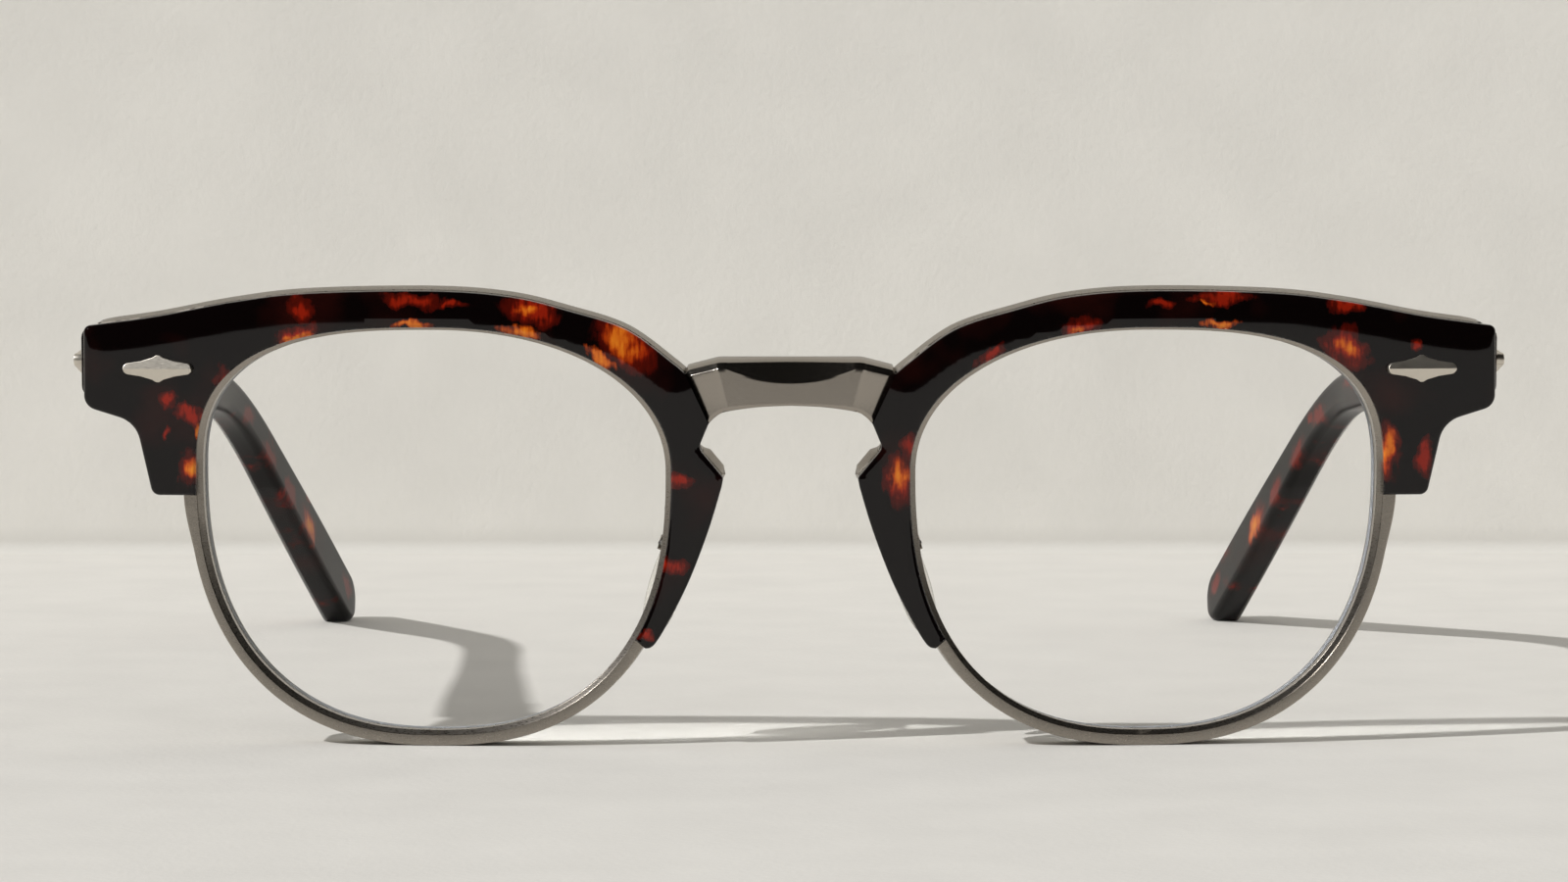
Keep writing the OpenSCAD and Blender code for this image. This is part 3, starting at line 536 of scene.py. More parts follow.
def sheet_of(outline, thick, front_edge, back_edge, square=None):
    """A flat sheet cut to an outline, y being its depth, with rounded edges but along one line."""
    bm = bmesh.new()
    face = bm.faces.new([bm.verts.new((p.x * MM, 0, p.y * MM)) for p in outline])
    made = bmesh.ops.extrude_face_region(bm, geom=[face])
    moved = [g for g in made["geom"] if isinstance(g, bmesh.types.BMVert)]
    bmesh.ops.translate(bm, vec=(0, thick * MM, 0), verts=moved)
    for depth, edge in ((0, front_edge), (thick, back_edge)):
        if not edge:
            continue
        rim_edges = [e for e in bm.edges if len(e.link_faces) == 2
            and all(abs(v.co.y - depth * MM) < 1e-7 for v in e.verts)
            and not (square and all(away_from_line(v.co.xz / MM, square) < SAME_LINE for v in e.verts))]
        bmesh.ops.bevel(bm, geom=rim_edges, offset=edge * MM, offset_type="OFFSET",
            affect="EDGES", segments=4, profile=0.5, material=-1, clamp_overlap=False)
    return bm


def brow_mesh():
    bm = sheet_of(region(brow_outline(), ledge, BROW_T / 2), BROW_T, BROW_EDGE, BROW_BACK_EDGE, joint)
    cut_into_grid(bm, GRID * MM)
    for edge in bm.edges:
        edge.smooth = not all(away_from_line(v.co.xz / MM, joint) < SAME_LINE for v in edge.verts)
    top_line = brow_top()
    for v in bm.verts:
        x, depth, z = v.co / MM
        away = away_from_line(Vector((x, z)), top_line)
        roll = max(1 - away / ROLL_WIDE, 0) ** 2
        depth += ROLL_DEEP * roll * (1 - depth / BROW_T)
        v.co = in_front(x, depth, z)
    return bm


TORTOISE_BLACK = "#070303"
TORTOISE_MAROON = "#260906"
TORTOISE_RED = "#8A1C0A"
TORTOISE_ORANGE = "#C2480D"
TORTOISE_AMBER = "#EB9428"
WAVER_MM = 1.9
WAVER_REACH_MM = 2.6
STREAK_MM = 0.9
CLOUD_MM = 7
FLECK_SPREAD = 1.5
THROUGH_MM = 200
BLACK, DIM, WHITE = ((v, v, v, 1) for v in (0, 0.22, 1))

# Amber and red flecks of each brow: x and z in the front view, half length, half height, tilt
RIGHT_RED = [(-49.5, 44.2, 1.2, 1.6, 20), (-38.1, 45, 3, 0.8, 0), (-26, 44.1, 2.9, 1.6, -12),
    (-16.6, 41, 3.6, 2.4, -40), (-62.8, 34.9, 1, 1, 0), (-60.4, 33.6, 1.7, 0.9, 0),
    (-63, 31.8, 0.4, 0.6, 0), (-60.5, 28.1, 1.5, 1.8, 0), (-11.2, 26.9, 1.5, 1, 0),
    (-12.1, 18.4, 1.7, 0.8, 0), (-14.4, 11.4, 0.8, 0.6, 0), (-49.9, 41.5, 2.3, 0.8, 18),
    (-56.5, 36.5, 1.2, 2, 30), (-34, 44.6, 1.6, 0.5, 0)]
RIGHT_AMBER = [(-49.9, 41.3, 2, 0.5, 20), (-38.1, 42.7, 2.2, 0.5, 0), (-27.2, 41.9, 2.4, 0.8, -12),
    (-16.9, 40.9, 2.5, 1.7, -38), (-19, 39.2, 2.4, 0.6, -38), (-60.6, 28.1, 1, 1.4, 0),
    (-59.9, 32, 0.5, 1.2, 10), (-26.6, 44.2, 1.2, 0.6, -10)]
LEFT_RED = [(20.1, 39.5, 1.4, 0.7, 25), (29.1, 42.5, 1.9, 1.1, 12), (43.3, 45.4, 3.2, 0.7, 0),
    (56, 44.6, 2, 0.9, -8), (56.3, 40.2, 2.7, 1.9, -40), (63.5, 40.4, 0.6, 0.6, 0),
    (60.4, 29.7, 1.3, 2.8, 0), (64.3, 29.1, 1, 1.8, 0), (11, 27.2, 1.8, 2.7, 0),
    (37.5, 44.7, 1.5, 0.6, 0), (12.5, 30.5, 1, 1.4, 0)]
LEFT_AMBER = [(29, 42.4, 1, 0.6, 12), (43.3, 42.6, 2.5, 0.45, 0), (56.3, 40.1, 1.7, 0.9, -40),
    (60.4, 29.9, 0.9, 2.4, 0), (11, 27.6, 1.3, 1.9, 0), (42, 44.9, 1, 0.3, 0)]


def flecks(material, place, spots):
    """The strongest of a list of soft spots through the sheet, 1 in the middle and 0 at the edge."""
    strongest = None
    for x, z, long, high, tilt in spots:
        spot = add_node(material, "Mapping", {0: place}, vector_type="TEXTURE",
            Location=(x * MM, 0, z * MM), Rotation=(0, math.radians(-tilt), 0),
            Scale=(long * MM * FLECK_SPREAD, THROUGH_MM * MM, high * MM * FLECK_SPREAD))
        soft = add_node(material, "TexGradient", {0: spot.outputs[0]}, gradient_type="SPHERICAL")
        field = soft.outputs["Fac"]
        if strongest:
            field = add_node(material, "Math", {0: strongest, 1: field},
                operation="MAXIMUM").outputs[0]
        strongest = field
    return strongest


# deep scales the red and amber colours; the darker copy for the temples' inner faces and underside uses a
# low value, which is painted shade.
def tortoise(name, red_field, amber_field, shine=0.42, gloss=0.05, deep=1.0):
    """Tumbled tortoise acetate: near black under a wet gloss, with slightly streaked red and
    amber clouds. The fields take a material and a wavering place, and give their strength."""
    material, body = new_material(name, Roughness=gloss, IOR=1.43, Specular_IOR_Level=shine)
    place = add_node(material, "TexCoord").outputs["Object"]
    waver = add_node(material, "TexNoise", {"Vector": place}, Scale=1 / (WAVER_MM * MM), Detail=4.0)
    centred = add_node(material, "VectorMath", {0: waver.outputs["Color"]},
        operation="SUBTRACT", i1=(0.5, 0.5, 0.5))
    spread = add_node(material, "VectorMath", {0: centred.outputs[0]},
        operation="SCALE", Scale=WAVER_REACH_MM * MM)
    moved = add_node(material, "VectorMath", {0: place, 1: spread.outputs[0]}, operation="ADD")
    streak_place = add_node(material, "Mapping", {0: place}, Scale=(2.0, 1, 0.5))
    streaks = add_node(material, "TexNoise", {"Vector": streak_place.outputs[0]},
        Scale=1 / (STREAK_MM * MM), Detail=3.0)
    soft_streaks = add_node(material, "MapRange", {"Value": streaks.outputs[0]},
        From_Min=0.3, From_Max=0.7, To_Min=0.62, To_Max=1.15)
    red, amber = (add_node(material, "Math", {0: soft_streaks.outputs[0],
        1: field(material, moved.outputs[0])}, operation="MULTIPLY") for field in (red_field, amber_field))
    red_share = add_node(material, "ValToRGB", {0: red.outputs[0]},
        [(0.12, BLACK), (0.3, DIM), (0.55, WHITE)], "EASE")
    amber_share = add_node(material, "ValToRGB", {0: amber.outputs[0]},
        [(0.2, BLACK), (0.55, WHITE)], "EASE")
    cloud = add_node(material, "TexNoise", {"Vector": place}, Scale=1 / (CLOUD_MM * MM), Detail=2.0)
    ground = add_node(material, "ValToRGB", {0: cloud.outputs[0]}, [
        (0.52, linear(TORTOISE_BLACK)), (0.8, linear(TORTOISE_MAROON))])
    with_red = add_node(material, "MixRGB", {0: red_share.outputs[0], 1: ground.outputs[0]},
        i2=shifted(TORTOISE_RED, deep))
    amber_colour = add_node(material, "ValToRGB", {0: amber.outputs[0]}, [
        (0.35, shifted(TORTOISE_ORANGE, deep ** 0.5)), (0.9, shifted(TORTOISE_AMBER, deep ** 0.5))])
    with_amber = add_node(material, "MixRGB", {0: amber_share.outputs[0], 1: with_red.outputs[0],
        2: amber_colour.outputs[0]})
    join(material, with_amber.outputs[0], body.inputs["Base Color"])
    return material


for name, side in SIDES:
    reds, ambers = (LEFT_RED, LEFT_AMBER) if side > 0 else (RIGHT_RED, RIGHT_AMBER)
    acetate = tortoise(name + " tortoise acetate",
        lambda m, p: flecks(m, p, reds), lambda m, p: flecks(m, p, ambers))
    even_shading(add_piece(name + "_acetate_brow", brow_mesh(), acetate, "front",
        [name + "_brow"], side))


# Brow plates: titanium sheet behind each acetate brow. Its edge stands out as a bright strip
# above the acetate and along the lower slope of the nose notch.
PLATE_FRONT = 3
PLATE_BACK = 4.2
PLATE_EDGE = 0.08
PLATE_T = PLATE_BACK - 0.04 - PLATE_FRONT
PLATE_IN = 0.35
PLATE_GRID = 1.3
OUTLINE_STEP = 0.35
LIP = 0.44
LIP_FADE = 4
LIP_SLANT = 0.93
NOTCH_LIP = 0.7
LEG_CUT = top_z - 11.8


def evenly(outline, spacing):
    """Points at even distances along a closed outline."""
    closed = outline + outline[:1]
    total = sum((b - a).length for a, b in zip(closed, closed[1:]))
    count = round(total / spacing)
    return [along_line(closed, k / count) for k in range(count)]


def along_line(line, share):
    """Point at a share of a line's length."""
    lengths = [(b - a).length for a, b in zip(line, line[1:])]
    left = share * sum(lengths)
    for a, b, length in zip(line, line[1:], lengths):
        if left <= length:
            return a.lerp(b, left / max(length, 1e-9))
        left -= length
    return line[-1].copy()


lip_line = joint[1:] + brow_top() + [Vector((brow_x - 0.75, top_z + 0.345))]
notch = [Vector(nose(-3.75, -12.3)), Vector(nose(-5.75, -14.6))]


def lip_at(x):
    """How far the plate stands above the acetate, less and less towards the outer end."""
    return LIP * smooth_step((brow_x - x) / LIP_FADE + 0.2)


def plate_outline():
    """The brow's outline moved out along the top and the notch, and in elsewhere."""
    points = evenly(brow_outline(), OUTLINE_STEP)
    moves = []
    for p in points:
        on_top = away_from_line(p, lip_line) < 0.05 or (p - joint[1]).length < 0.8
        on_notch = away_from_line(p, notch) < 0.35
        moves.append(lip_at(p.x) if on_top else NOTCH_LIP if on_notch else -PLATE_IN)
    count = len(points)
    area = sum(p.x * q.y - q.x * p.y for p, q in zip(points, points[1:] + points[:1]))
    outside = math.copysign(1, area)
    found = []
    for i, p in enumerate(points):
        move = sum(moves[(i + k) % count] for k in (-2, -1, 0, 1, 2)) / 5
        way = (points[(i + 1) % count] - points[i - 1]).normalized()
        q = p + Vector((way.y, -way.x)) * outside * move
        if q.x > eye_x and q.y < LEG_CUT:
            q.y = LEG_CUT
        if not found or (q - found[-1]).length > 0.12:
            found.append(q)
    return found


def plate_mesh():
    """The plate, with an edge that slants to the light where it stands out."""
    outline = plate_outline()
    end = max(range(len(outline)), key=lambda i: outline[i].x)
    outline = outline[end:] + outline[:end]
    bm = sheet_of(region(outline, lambda turn: RIM_W - 0.2, PLATE_FRONT),
        PLATE_T, PLATE_EDGE, PLATE_EDGE)
    for v in bm.verts:
        x, depth, z = v.co / MM
        place = Vector((x, z))
        for line in (lip_line, notch):
            seat = nearest(place, line)
            outside = place - seat
            beyond = NOTCH_LIP if line == notch else lip_at(seat.x)
            if outside.length > beyond * 0.55 and (outside.y > 0 or line == notch and x < seat.x + 9):
                if outside.length < beyond * 1.3:
                    place = seat + outside * (1 - LIP_SLANT * max(1 - depth / PLATE_T, 0))
        v.co = Vector((place.x, depth, place.y)) * MM
    cut_into_grid(bm, PLATE_GRID * MM)
    for v in bm.verts:
        v.co = in_front(v.co.x / MM, PLATE_FRONT + v.co.y / MM, v.co.z / MM)
    return bm


for name, side in SIDES:
    even_shading(add_piece(name + "_titanium_plate", plate_mesh(), pewter, "front",
        [name + "_brow_plate"], side))


# Bridge: a bar milled from titanium with the rest of the front. A round cutter has scooped
# its upper edge below a thin lip, and each wing falls back to the acetate in a small facet.
BRIDGE_H = 4.8
BRIDGE_EDGE = 0.16
SCOOP_R = 22
SCOOP_HALF = 17
SCOOP_DROP = 2.35
CHAMFER = 0.62
WING_X = 7.5
WING_FALL = 0.7 / 3
WING_STEP = 0.09
bridge_top = top_z - 2.75
bridge_foot = bridge_top - BRIDGE_H
scoop_z = bridge_top - SCOOP_DROP + SCOOP_HALF


def bridge_front(x, z, below_lip):
    """Depth of the bridge's front at a place, and how far below the lip it is."""
    step_x = WING_X - 0.24 * min(max(bridge_top - z - 0.5, 0), 4)
    depth = BRIDGE_SET + max(abs(x) - step_x, 0) * WING_FALL
    depth += WING_STEP * smooth_step((abs(x) - step_x) / 0.3) + max(CHAMFER - below_lip, 0)
    radial = SCOOP_R ** 2 - x * x - (z - scoop_z) ** 2
    if radial > 0:
        middle = BRIDGE_SET - math.sqrt(SCOOP_R ** 2 - SCOOP_HALF ** 2)
        depth = max(depth, middle + math.sqrt(radial) - wrapped(x, 0))
    return depth


def cut_share(foot, top):
    """Share of the way from foot to top where the scoop or the chamfer begins."""
    low, high = 0.0, 1.0
    for _ in range(30):
        mid = (low + high) / 2
        p = foot.lerp(top, mid)
        plain = p.x ** 2 + (p.y - scoop_z) ** 2 > SCOOP_HALF ** 2 and (top - p).length > CHAMFER
        low, high = (mid, high) if plain else (low, mid)
    return low


def bridge_mesh():
    """The bar, from its front foot up to the lip, over the back and down again."""
    foot, top = joint
    shoulder = (top[0] - 0.4, top[1] + 0.65)
    half_top = ([Vector((0, bridge_top))] + rounded((0, bridge_top), (7.2, bridge_top), shoulder, 3)
        + [Vector(shoulder), top])
    half_foot = flowing([(0, bridge_foot), (3.3, bridge_foot - 0.15), (foot[0] - 1.8, bridge_foot - 0.6),
        (foot[0] - 0.75, bridge_foot - 1.1), foot], 8)
    sides = [i / 75 for i in range(-75, 76)]
    tops, feet = ([Vector((math.copysign(p.x, s), p.y)) for s in sides
        for p in [along_line(line, abs(s))]] for line in (half_top, half_foot))
    lips = [t + Vector((0, -LIP)) for t in tops]
    cuts = [cut_share(f, l) for f, l in zip(feet, lips)]
    e = BRIDGE_EDGE

    def row_at(line, depth):
        return [in_front(p.x, depth, p.y) for p in line]

    rows = [[in_front(f.x, bridge_front(f.x, f.y, 9) + e, f.y) for f in feet]]
    for low, high, shares in ((0, 1, (0.03, 0.1, 0.3, 0.5, 0.7, 0.9, 0.985)),
            (1, 2, (0.02, 0.12, 0.3, 0.5, 0.7, 0.88, 1))):
        for share in shares:
            row = []
            for f, l, cut in zip(feet, lips, cuts):
                start, end = (0, cut) if high == 1 else (cut, 1)
                p = f.lerp(l, start + (end - start) * share)
                row.append(in_front(p.x, bridge_front(p.x, p.y, (l - p).length), p.y))
            rows.append(row)
    inner_low = [t.lerp(f, 0.03) for f, t in zip(feet, tops)]
    inner_high = [t.lerp(f, 0.97) for f, t in zip(feet, tops)]
    lifted = [t + Vector((0, -0.04)) for t in tops]
    rows += [row_at(lifted, PLATE_BACK - 2 * e), row_at(tops, PLATE_BACK - e),
        row_at(inner_low, PLATE_BACK), row_at(inner_high, PLATE_BACK), row_at(feet, PLATE_BACK - e)]
    bm = bmesh.new()
    bridge_rows(bm, rows, closed=False, loop=True)
    return bm


# The same titanium, polished: darker than the rims, since it mirrors the dark room.
polished = satin_metal("polished titanium", PEWTER_HEX, POLISH)
even_shading(add_piece("milled_bridge", bridge_mesh(), polished, "front", ["bridge"]))


# Lenses: thin, clear and coated, ground to one curve front and back, with an edge that sits
# in the eyewire's groove.
LENS_T = 2
LENS_R = 130
LENS_SET = 0.9
LENS_PLAY = 0.02
LENS_GRID = 2.2
LENS_EDGE_HEX = "#7F8287"
lens_z = (RIM_W + top_z) / 2


def lens_point(u, depth, z):
    """A point of the lens from the eye's own view and its depth behind the lens's front pole."""
    return from_axis(u, WRAP_R - LENS_SET - depth, z)


def lens_mesh():
    bm = sheet_of([Vector(eye_point(t, -LENS_PLAY)) for t in turns], LENS_T, 0, 0)
    cut_into_grid(bm, LENS_GRID * MM)
    for v in bm.verts:
        u, depth, z = v.co / MM
        back = LENS_R - math.sqrt(LENS_R ** 2 - u * u - (z - lens_z) ** 2)
        v.co = lens_point(u, depth + back, z)
    return bm


def grind(lens, side):
    """Gives the lens the exact normals of its two spheres, and a ground edge."""
    mesh = lens.data
    centre = lens_point(0, LENS_R, lens_z)
    axis = (lens_point(0, LENS_R + LENS_T, lens_z) - centre).normalized()
    mirror = Vector((side, 1, 1))
    centre, axis = centre * mirror, axis * mirror
    mesh.materials.append(ground_edge)
    normals = []
    for face in mesh.polygons:
        facing = -face.normal.dot(axis)
        face.material_index = int(abs(facing) < 0.5)
        for index in face.vertices:
            if abs(facing) < 0.5:
                normals.append(face.normal.copy())
            elif facing > 0:
                normals.append((mesh.vertices[index].co - centre).normalized())
            else:
                normals.append((centre + axis * LENS_T * MM - mesh.vertices[index].co).normalized())
    mesh.normals_split_custom_set(normals)


# Coated plastic: hardly a reflection. A low index keeps the background straight behind it,
# and light passes, because a thin lens throws almost no shadow. The edge is ground matt.
clear, shader = new_material("clear coated lens", Base_Color=linear("#FEFEFE"), Roughness=0.0,
    IOR=1.14, Transmission_Weight=1.0)
rays = add_node(clear, "LightPath")
let_through = add_node(clear, "BsdfTransparent", Color=(0.97, 0.975, 0.97, 1))
both = add_node(clear, "MixShader", {0: rays.outputs["Is Shadow Ray"],
    1: shader.outputs[0], 2: let_through.outputs[0]})
join(clear, both.outputs[0], clear.node_tree.nodes["Material Output"].inputs["Surface"])
ground_edge, _ = new_material("ground lens edge", Base_Color=linear(LENS_EDGE_HEX), Roughness=0.5)
for name, side in SIDES:
    lens = add_piece(name + "_clear_lens", lens_mesh(), clear, "front",
        [name + "_lens"], side)
    grind(lens, side)


# Diamond plaques: small cast shields, silver plated and polished, each riveted through the
# acetate. A ridge runs along each, so the upper half looks darker than the lower.
PLAQUE = (7.1, 2.8, 0.75)
SIDE_PLAQUE = (7.6, 3.1, 0.9)
PLAQUE_EDGE = 0.09
PLAQUE_PLACE = (4.2, -4)
SILVER_HEX = "#D8D1C5"
SILVER_GLOSS = 0.4


def plaque_outline(long, high):
    """A diamond with rounded ends, hollow shoulders and a small peak above and below."""
    tip, shoulder, sx = 0.21 * high, 0.28 * high, 0.19 * long
    quarter = [(long / 2 - tip + tip * c, tip * s) for c, s in map(unit, range(0, 81, 16))]
    quarter += [(sx + 0.35, shoulder), (sx, shoulder + 0.04 * high), (0.42 * sx, 0.4 * high),
        (0.12 * sx, 0.49 * high)]
    upper = quarter + [(-x, z) for x, z in reversed(quarter)]
    lower = [(x, -z) for x, z in reversed(upper) if z > 0]
    return [Vector(p) for p in upper + lower]


def plaque_mesh(long, high, thick, dome=0.0):
    """The plaque in its own view: y = 0 on the acetate, and the ridge or dome towards -Y."""
    bm = sheet_of(plaque_outline(long, high), thick, PLAQUE_EDGE, 0.01)
    cut_along(bm, (0, 0, 0), (0, 0, 1))
    for v in bm.verts:
        x, depth, z = v.co / MM
        off = abs(z) / (high / 2)
        fall = (0.2 * thick + 0.1 * high) * (1 + 0.5 * dome) * off ** (1 + 4 * dome)
        front = 1 - depth / thick
        v.co.y = (depth - thick + fall * front) * MM
    for edge in bm.edges:
        if all(abs(v.co.z) < 1e-6 and v.co.y < -thick * 0.5 * MM for v in edge.verts):
            edge.smooth = dome > 0
    return bm


# Silver plate: pale and warm, polished softly enough for each facet to take one even tone.
silver = satin_metal("polished silver plate", SILVER_HEX, SILVER_GLOSS, grain=0.0)
plaque_x, plaque_z = temporal_x + PLAQUE_PLACE[0], top_z + PLAQUE_PLACE[1]
for name, side in SIDES:
    bm = plaque_mesh(*PLAQUE)
    turn = Matrix.Rotation(math.asin(plaque_x / WRAP_R), 4, "Z")
    bmesh.ops.transform(bm, verts=bm.verts,
        matrix=Matrix.Translation(in_front(plaque_x, 0, plaque_z)) @ turn)
    even_shading(add_piece(name + "_diamond_plaque", bm, silver, "front",
        [name + "_brow_plaque"], side))


# Temples: acetate strips with a wire core, milled to a slim waist, bent down behind the ear
# and tumbled. Their tips stand on the table.
TIP_Y = 136.5
BEND_Y = 95
TEMPLE_T = 3.7
TEMPLE_H = 7.2
WAIST_H = 4.5
WAIST_FROM, WAIST_FADE = 8, 50
TIP_H = 6.7
TEMPLE_ROUND = 1.15
TEMPLE_DROP, TEMPLE_LEAN, TIP_LEAN = 5.7, 4.2, 13
BEND_W = 12
TIP_FLAT = 0.3
TEMPLE_OUT = 0.9
ENDPIECE_DEEP = 2.1
HINGE_DROP = 3.7
BUTT_GAP = 0.05
TEMPLE_STEPS = 90
SIDE_PLAQUE_PLACE = (0.02, 0.4, 0.25)
temple_in_x = brow_x + TEMPLE_OUT - TEMPLE_T
temple_mid_x = brow_x + TEMPLE_OUT - TEMPLE_T / 2
butt_y = wrapped(brow_x, 0) + PLATE_BACK + ENDPIECE_DEEP
hinge_z = top_z - HINGE_DROP
drop, lean, tip_lean = (math.tan(math.radians(a)) for a in (TEMPLE_DROP, TEMPLE_LEAN, TIP_LEAN))
tip_z = TIP_H / 2 - TIP_FLAT
bend_z = hinge_z - drop * (BEND_Y - butt_y)
tip_slope = (bend_z - tip_z) / (TIP_Y - BEND_Y)


def bent(v):
    """Distance that counts past a bend, which begins softly."""
    return 0 if v < -BEND_W else v if v > BEND_W else (v + BEND_W) ** 2 / (4 * BEND_W)


def temple_path(y):
    """Middle of the temple at a depth behind the front."""
    return Vector((temple_mid_x - lean * (y - butt_y) - (tip_lean - lean) * bent(y - BEND_Y), y,
        hinge_z - drop * (y - butt_y) - (tip_slope - drop) * bent(y - BEND_Y)))


def temple_height(y):
    """Tall at the hinge, slim before the bend and taller again at the tip."""
    slim = smooth_step((y - butt_y - WAIST_FROM) / WAIST_FADE)
    return (TEMPLE_H - (TEMPLE_H - WAIST_H) * slim
        + (TIP_H - WAIST_H) * smooth_step((y - BEND_Y + 6) / (TIP_Y - BEND_Y)))


def rounded_section(wide, high, radius, steps=5):
    """Points of a rounded rectangle, anticlockwise."""
    points = []
    for k, (sx, sz) in enumerate(((1, 1), (-1, 1), (-1, -1), (1, -1))):
        for i in range(steps + 1):
            a = math.radians(90 * k + 90 * i / steps)
            points.append((sx * (wide / 2 - radius) + radius * math.cos(a),
                sz * (high / 2 - radius) + radius * math.sin(a)))
    return points


def temple_row(y, wide, high, ahead=0.0):
    """The temple's section at a depth, or ahead of it along the path."""
    here = temple_path(y)
    forward = (temple_path(y + 0.5) - temple_path(y - 0.5)).normalized()
    up = Vector((0, -forward.z, forward.y)).normalized()
    out = forward.cross(up)
    radius = min(TEMPLE_ROUND, 0.47 * wide, 0.47 * high)
    row = []
    for a, b in rounded_section(wide, high, radius):
        p = here + forward * ahead + out * a + up * b
        if y < butt_y + 1:
            p -= forward * (p.y - butt_y - BUTT_GAP) / forward.y
        row.append(Vector((p.x, front_y + p.y, max(p.z, 0))) * MM)
    return row


def temple_mesh():
    """The strip, from its square butt with a small round edge to its rounded tip."""
    start = butt_y + BUTT_GAP
    rows = [temple_row(start, TEMPLE_T - less, temple_height(start) - less) for less in (1.6, 0.3)]
    edge = temple_row(start, TEMPLE_T, temple_height(start))
    rows.append([p + Vector((0, 0.15 * MM, 0)) for p in edge])
    for i in range(TEMPLE_STEPS + 1):
        y = start + 1.05 + (TIP_Y - start - 1.05) * i / TEMPLE_STEPS
        rows.append(temple_row(y, TEMPLE_T, temple_height(y)))
    for angle in range(10, 91, 8):
        c, s = unit(angle)
        wide = TEMPLE_T * (1 - 0.35 * (angle / 90) ** 4)
        rows.append(temple_row(TIP_Y, wide, max(TIP_H * c, 0.4), (TIP_H / 2 - 0.12) * s))
    bm = bmesh.new()
    bridge_rows(bm, rows)
    return bm


# Flecks along each temple: depth behind the front, height from its middle, half sizes
TEMPLE_RED = [(20, 1, 4, 1.6), (34, -1.4, 5, 0.9), (48, 0.5, 6, 1), (63, -1.2, 3, 1.2), (76, 0.9, 6, 0.8),
    (95, -0.6, 3, 1.2), (104, -1.4, 3, 1.2), (112, -1.2, 2.6, 1.4), (119, -1, 3.6, 2), (135, 0.6, 2.2, 1.2)]
TEMPLE_AMBER = [(48, 0.4, 3.4, 0.5), (119.5, -1.2, 2.8, 1.7)]
RED_RARE, AMBER_RARE = 0.54, 0.63
BLOTCH_MM = 5.5
FLECK_TILT, TIP_FLECK_TILT = -6, -30


def temple_flecks(material, place, spots, rare):
    """Flecks that follow the temple's path, and blotches, the rarer the less of them."""
    parts = add_node(material, "SeparateXYZ", {0: place})
    flat = add_node(material, "CombineXYZ", {"X": parts.outputs["Y"], "Z": parts.outputs["Z"]})
    placed = [(front_y + y, temple_path(y).z + z, long, high, TIP_FLECK_TILT if y > BEND_Y
        else FLECK_TILT) for y, z, long, high in spots]
    field = flecks(material, flat.outputs[0], placed)
    along_temple = add_node(material, "Mapping", {0: place}, Scale=(1, 0.5, 1.3))
    blotch = add_node(material, "TexNoise", {"Vector": along_temple.outputs[0]},
        Scale=1 / (BLOTCH_MM * MM), Detail=3.0, Roughness=0.6)
    found = add_node(material, "MapRange", {"Value": blotch.outputs[0]},
        From_Min=rare, From_Max=rare + 0.17, To_Max=0.75)
    return add_node(material, "Math", {0: field, 1: found.outputs[0]}, operation="MAXIMUM").outputs[0]


# The outer face has the gloss of the brows. The inner faces and the underside are a duller copy with darker
# flecks, and their darker flecks are painted shade.
temple_acetate, shaded_inner_acetate = (
    tortoise(name, lambda m, p: temple_flecks(m, p, TEMPLE_RED, RED_RARE),
        lambda m, p: temple_flecks(m, p, TEMPLE_AMBER, AMBER_RARE), shine, gloss, deep)
    for name, shine, gloss, deep in (("temple tortoise acetate", 0.42, 0.06, 0.8),
        ("temple inner face, painted shade", 0.1, 0.3, 0.5)))
for name, side in SIDES:
    temple = add_piece(name + "_acetate_temple", temple_mesh(), temple_acetate, name + "_temple",
        [name + "_temple"], side)
    temple.data.materials.append(shaded_inner_acetate)
    for face in temple.data.polygons:
        # Faces that do not face outwards and are not tops take the darker copy: painted shade.
        face.material_index = int(face.normal.x * side < 0.3 and face.normal.z < 0.9)
    even_shading(temple)
    bm = plaque_mesh(*SIDE_PLAQUE, dome=1)
    place = (Matrix.Translation(Vector((temple_in_x, front_y + butt_y, hinge_z)) * MM)
        @ Matrix.Rotation(math.radians(TEMPLE_LEAN), 4, "Z")
        @ Matrix.Rotation(math.radians(-TEMPLE_DROP), 4, "X")
        @ Matrix.Translation(Vector((TEMPLE_T, SIDE_PLAQUE[0] / 2, 0)) * MM)
        @ Matrix.Translation(Vector(SIDE_PLAQUE_PLACE) * MM)
        @ Matrix.Rotation(math.radians(90), 4, "Z"))
    bmesh.ops.transform(bm, verts=bm.verts, matrix=place)
    even_shading(add_piece(name + "_side_plaque", bm, silver, name + "_temple",
        [name + "_temple_plaque"], side))


# Nose pads: clear silicone cast round a small metal insert, soft and slightly domed, with a
# lug that turns on the screw of the pad arm.
PAD_L = 13
PAD_W = 6.6
PAD_T = 1.7
PAD_LOW = 3
PAD_OFF = 1
PAD_SPLAY, PAD_LEAN = 28, 19
PAD_PLACE = (0.2, 8.8, -22.1)
LUG_R = 0.4
LUG_T = 0.6
pad_pivot = (Vector((nasal_x, front_y, top_z)) + Vector(PAD_PLACE)) * MM
pad_turn = (Matrix.Translation(pad_pivot) @ Matrix.Rotation(math.radians(-PAD_SPLAY), 4, "Z")
    @ Matrix.Rotation(math.radians(-PAD_LEAN), 4, "Y"))


def block(size, centre, edge):
    """A block with rounded edges; sizes in millimetres."""
    bm = bmesh.new()
    bmesh.ops.create_cube(bm, size=1)
    bmesh.ops.scale(bm, vec=Vector(size) * MM, verts=bm.verts)
    bmesh.ops.bevel(bm, geom=bm.edges[:], offset=edge * MM, offset_type="OFFSET", affect="EDGES",
        segments=3, profile=0.5, material=-1)
    bmesh.ops.translate(bm, vec=Vector(centre) * MM, verts=bm.verts)
    return bm


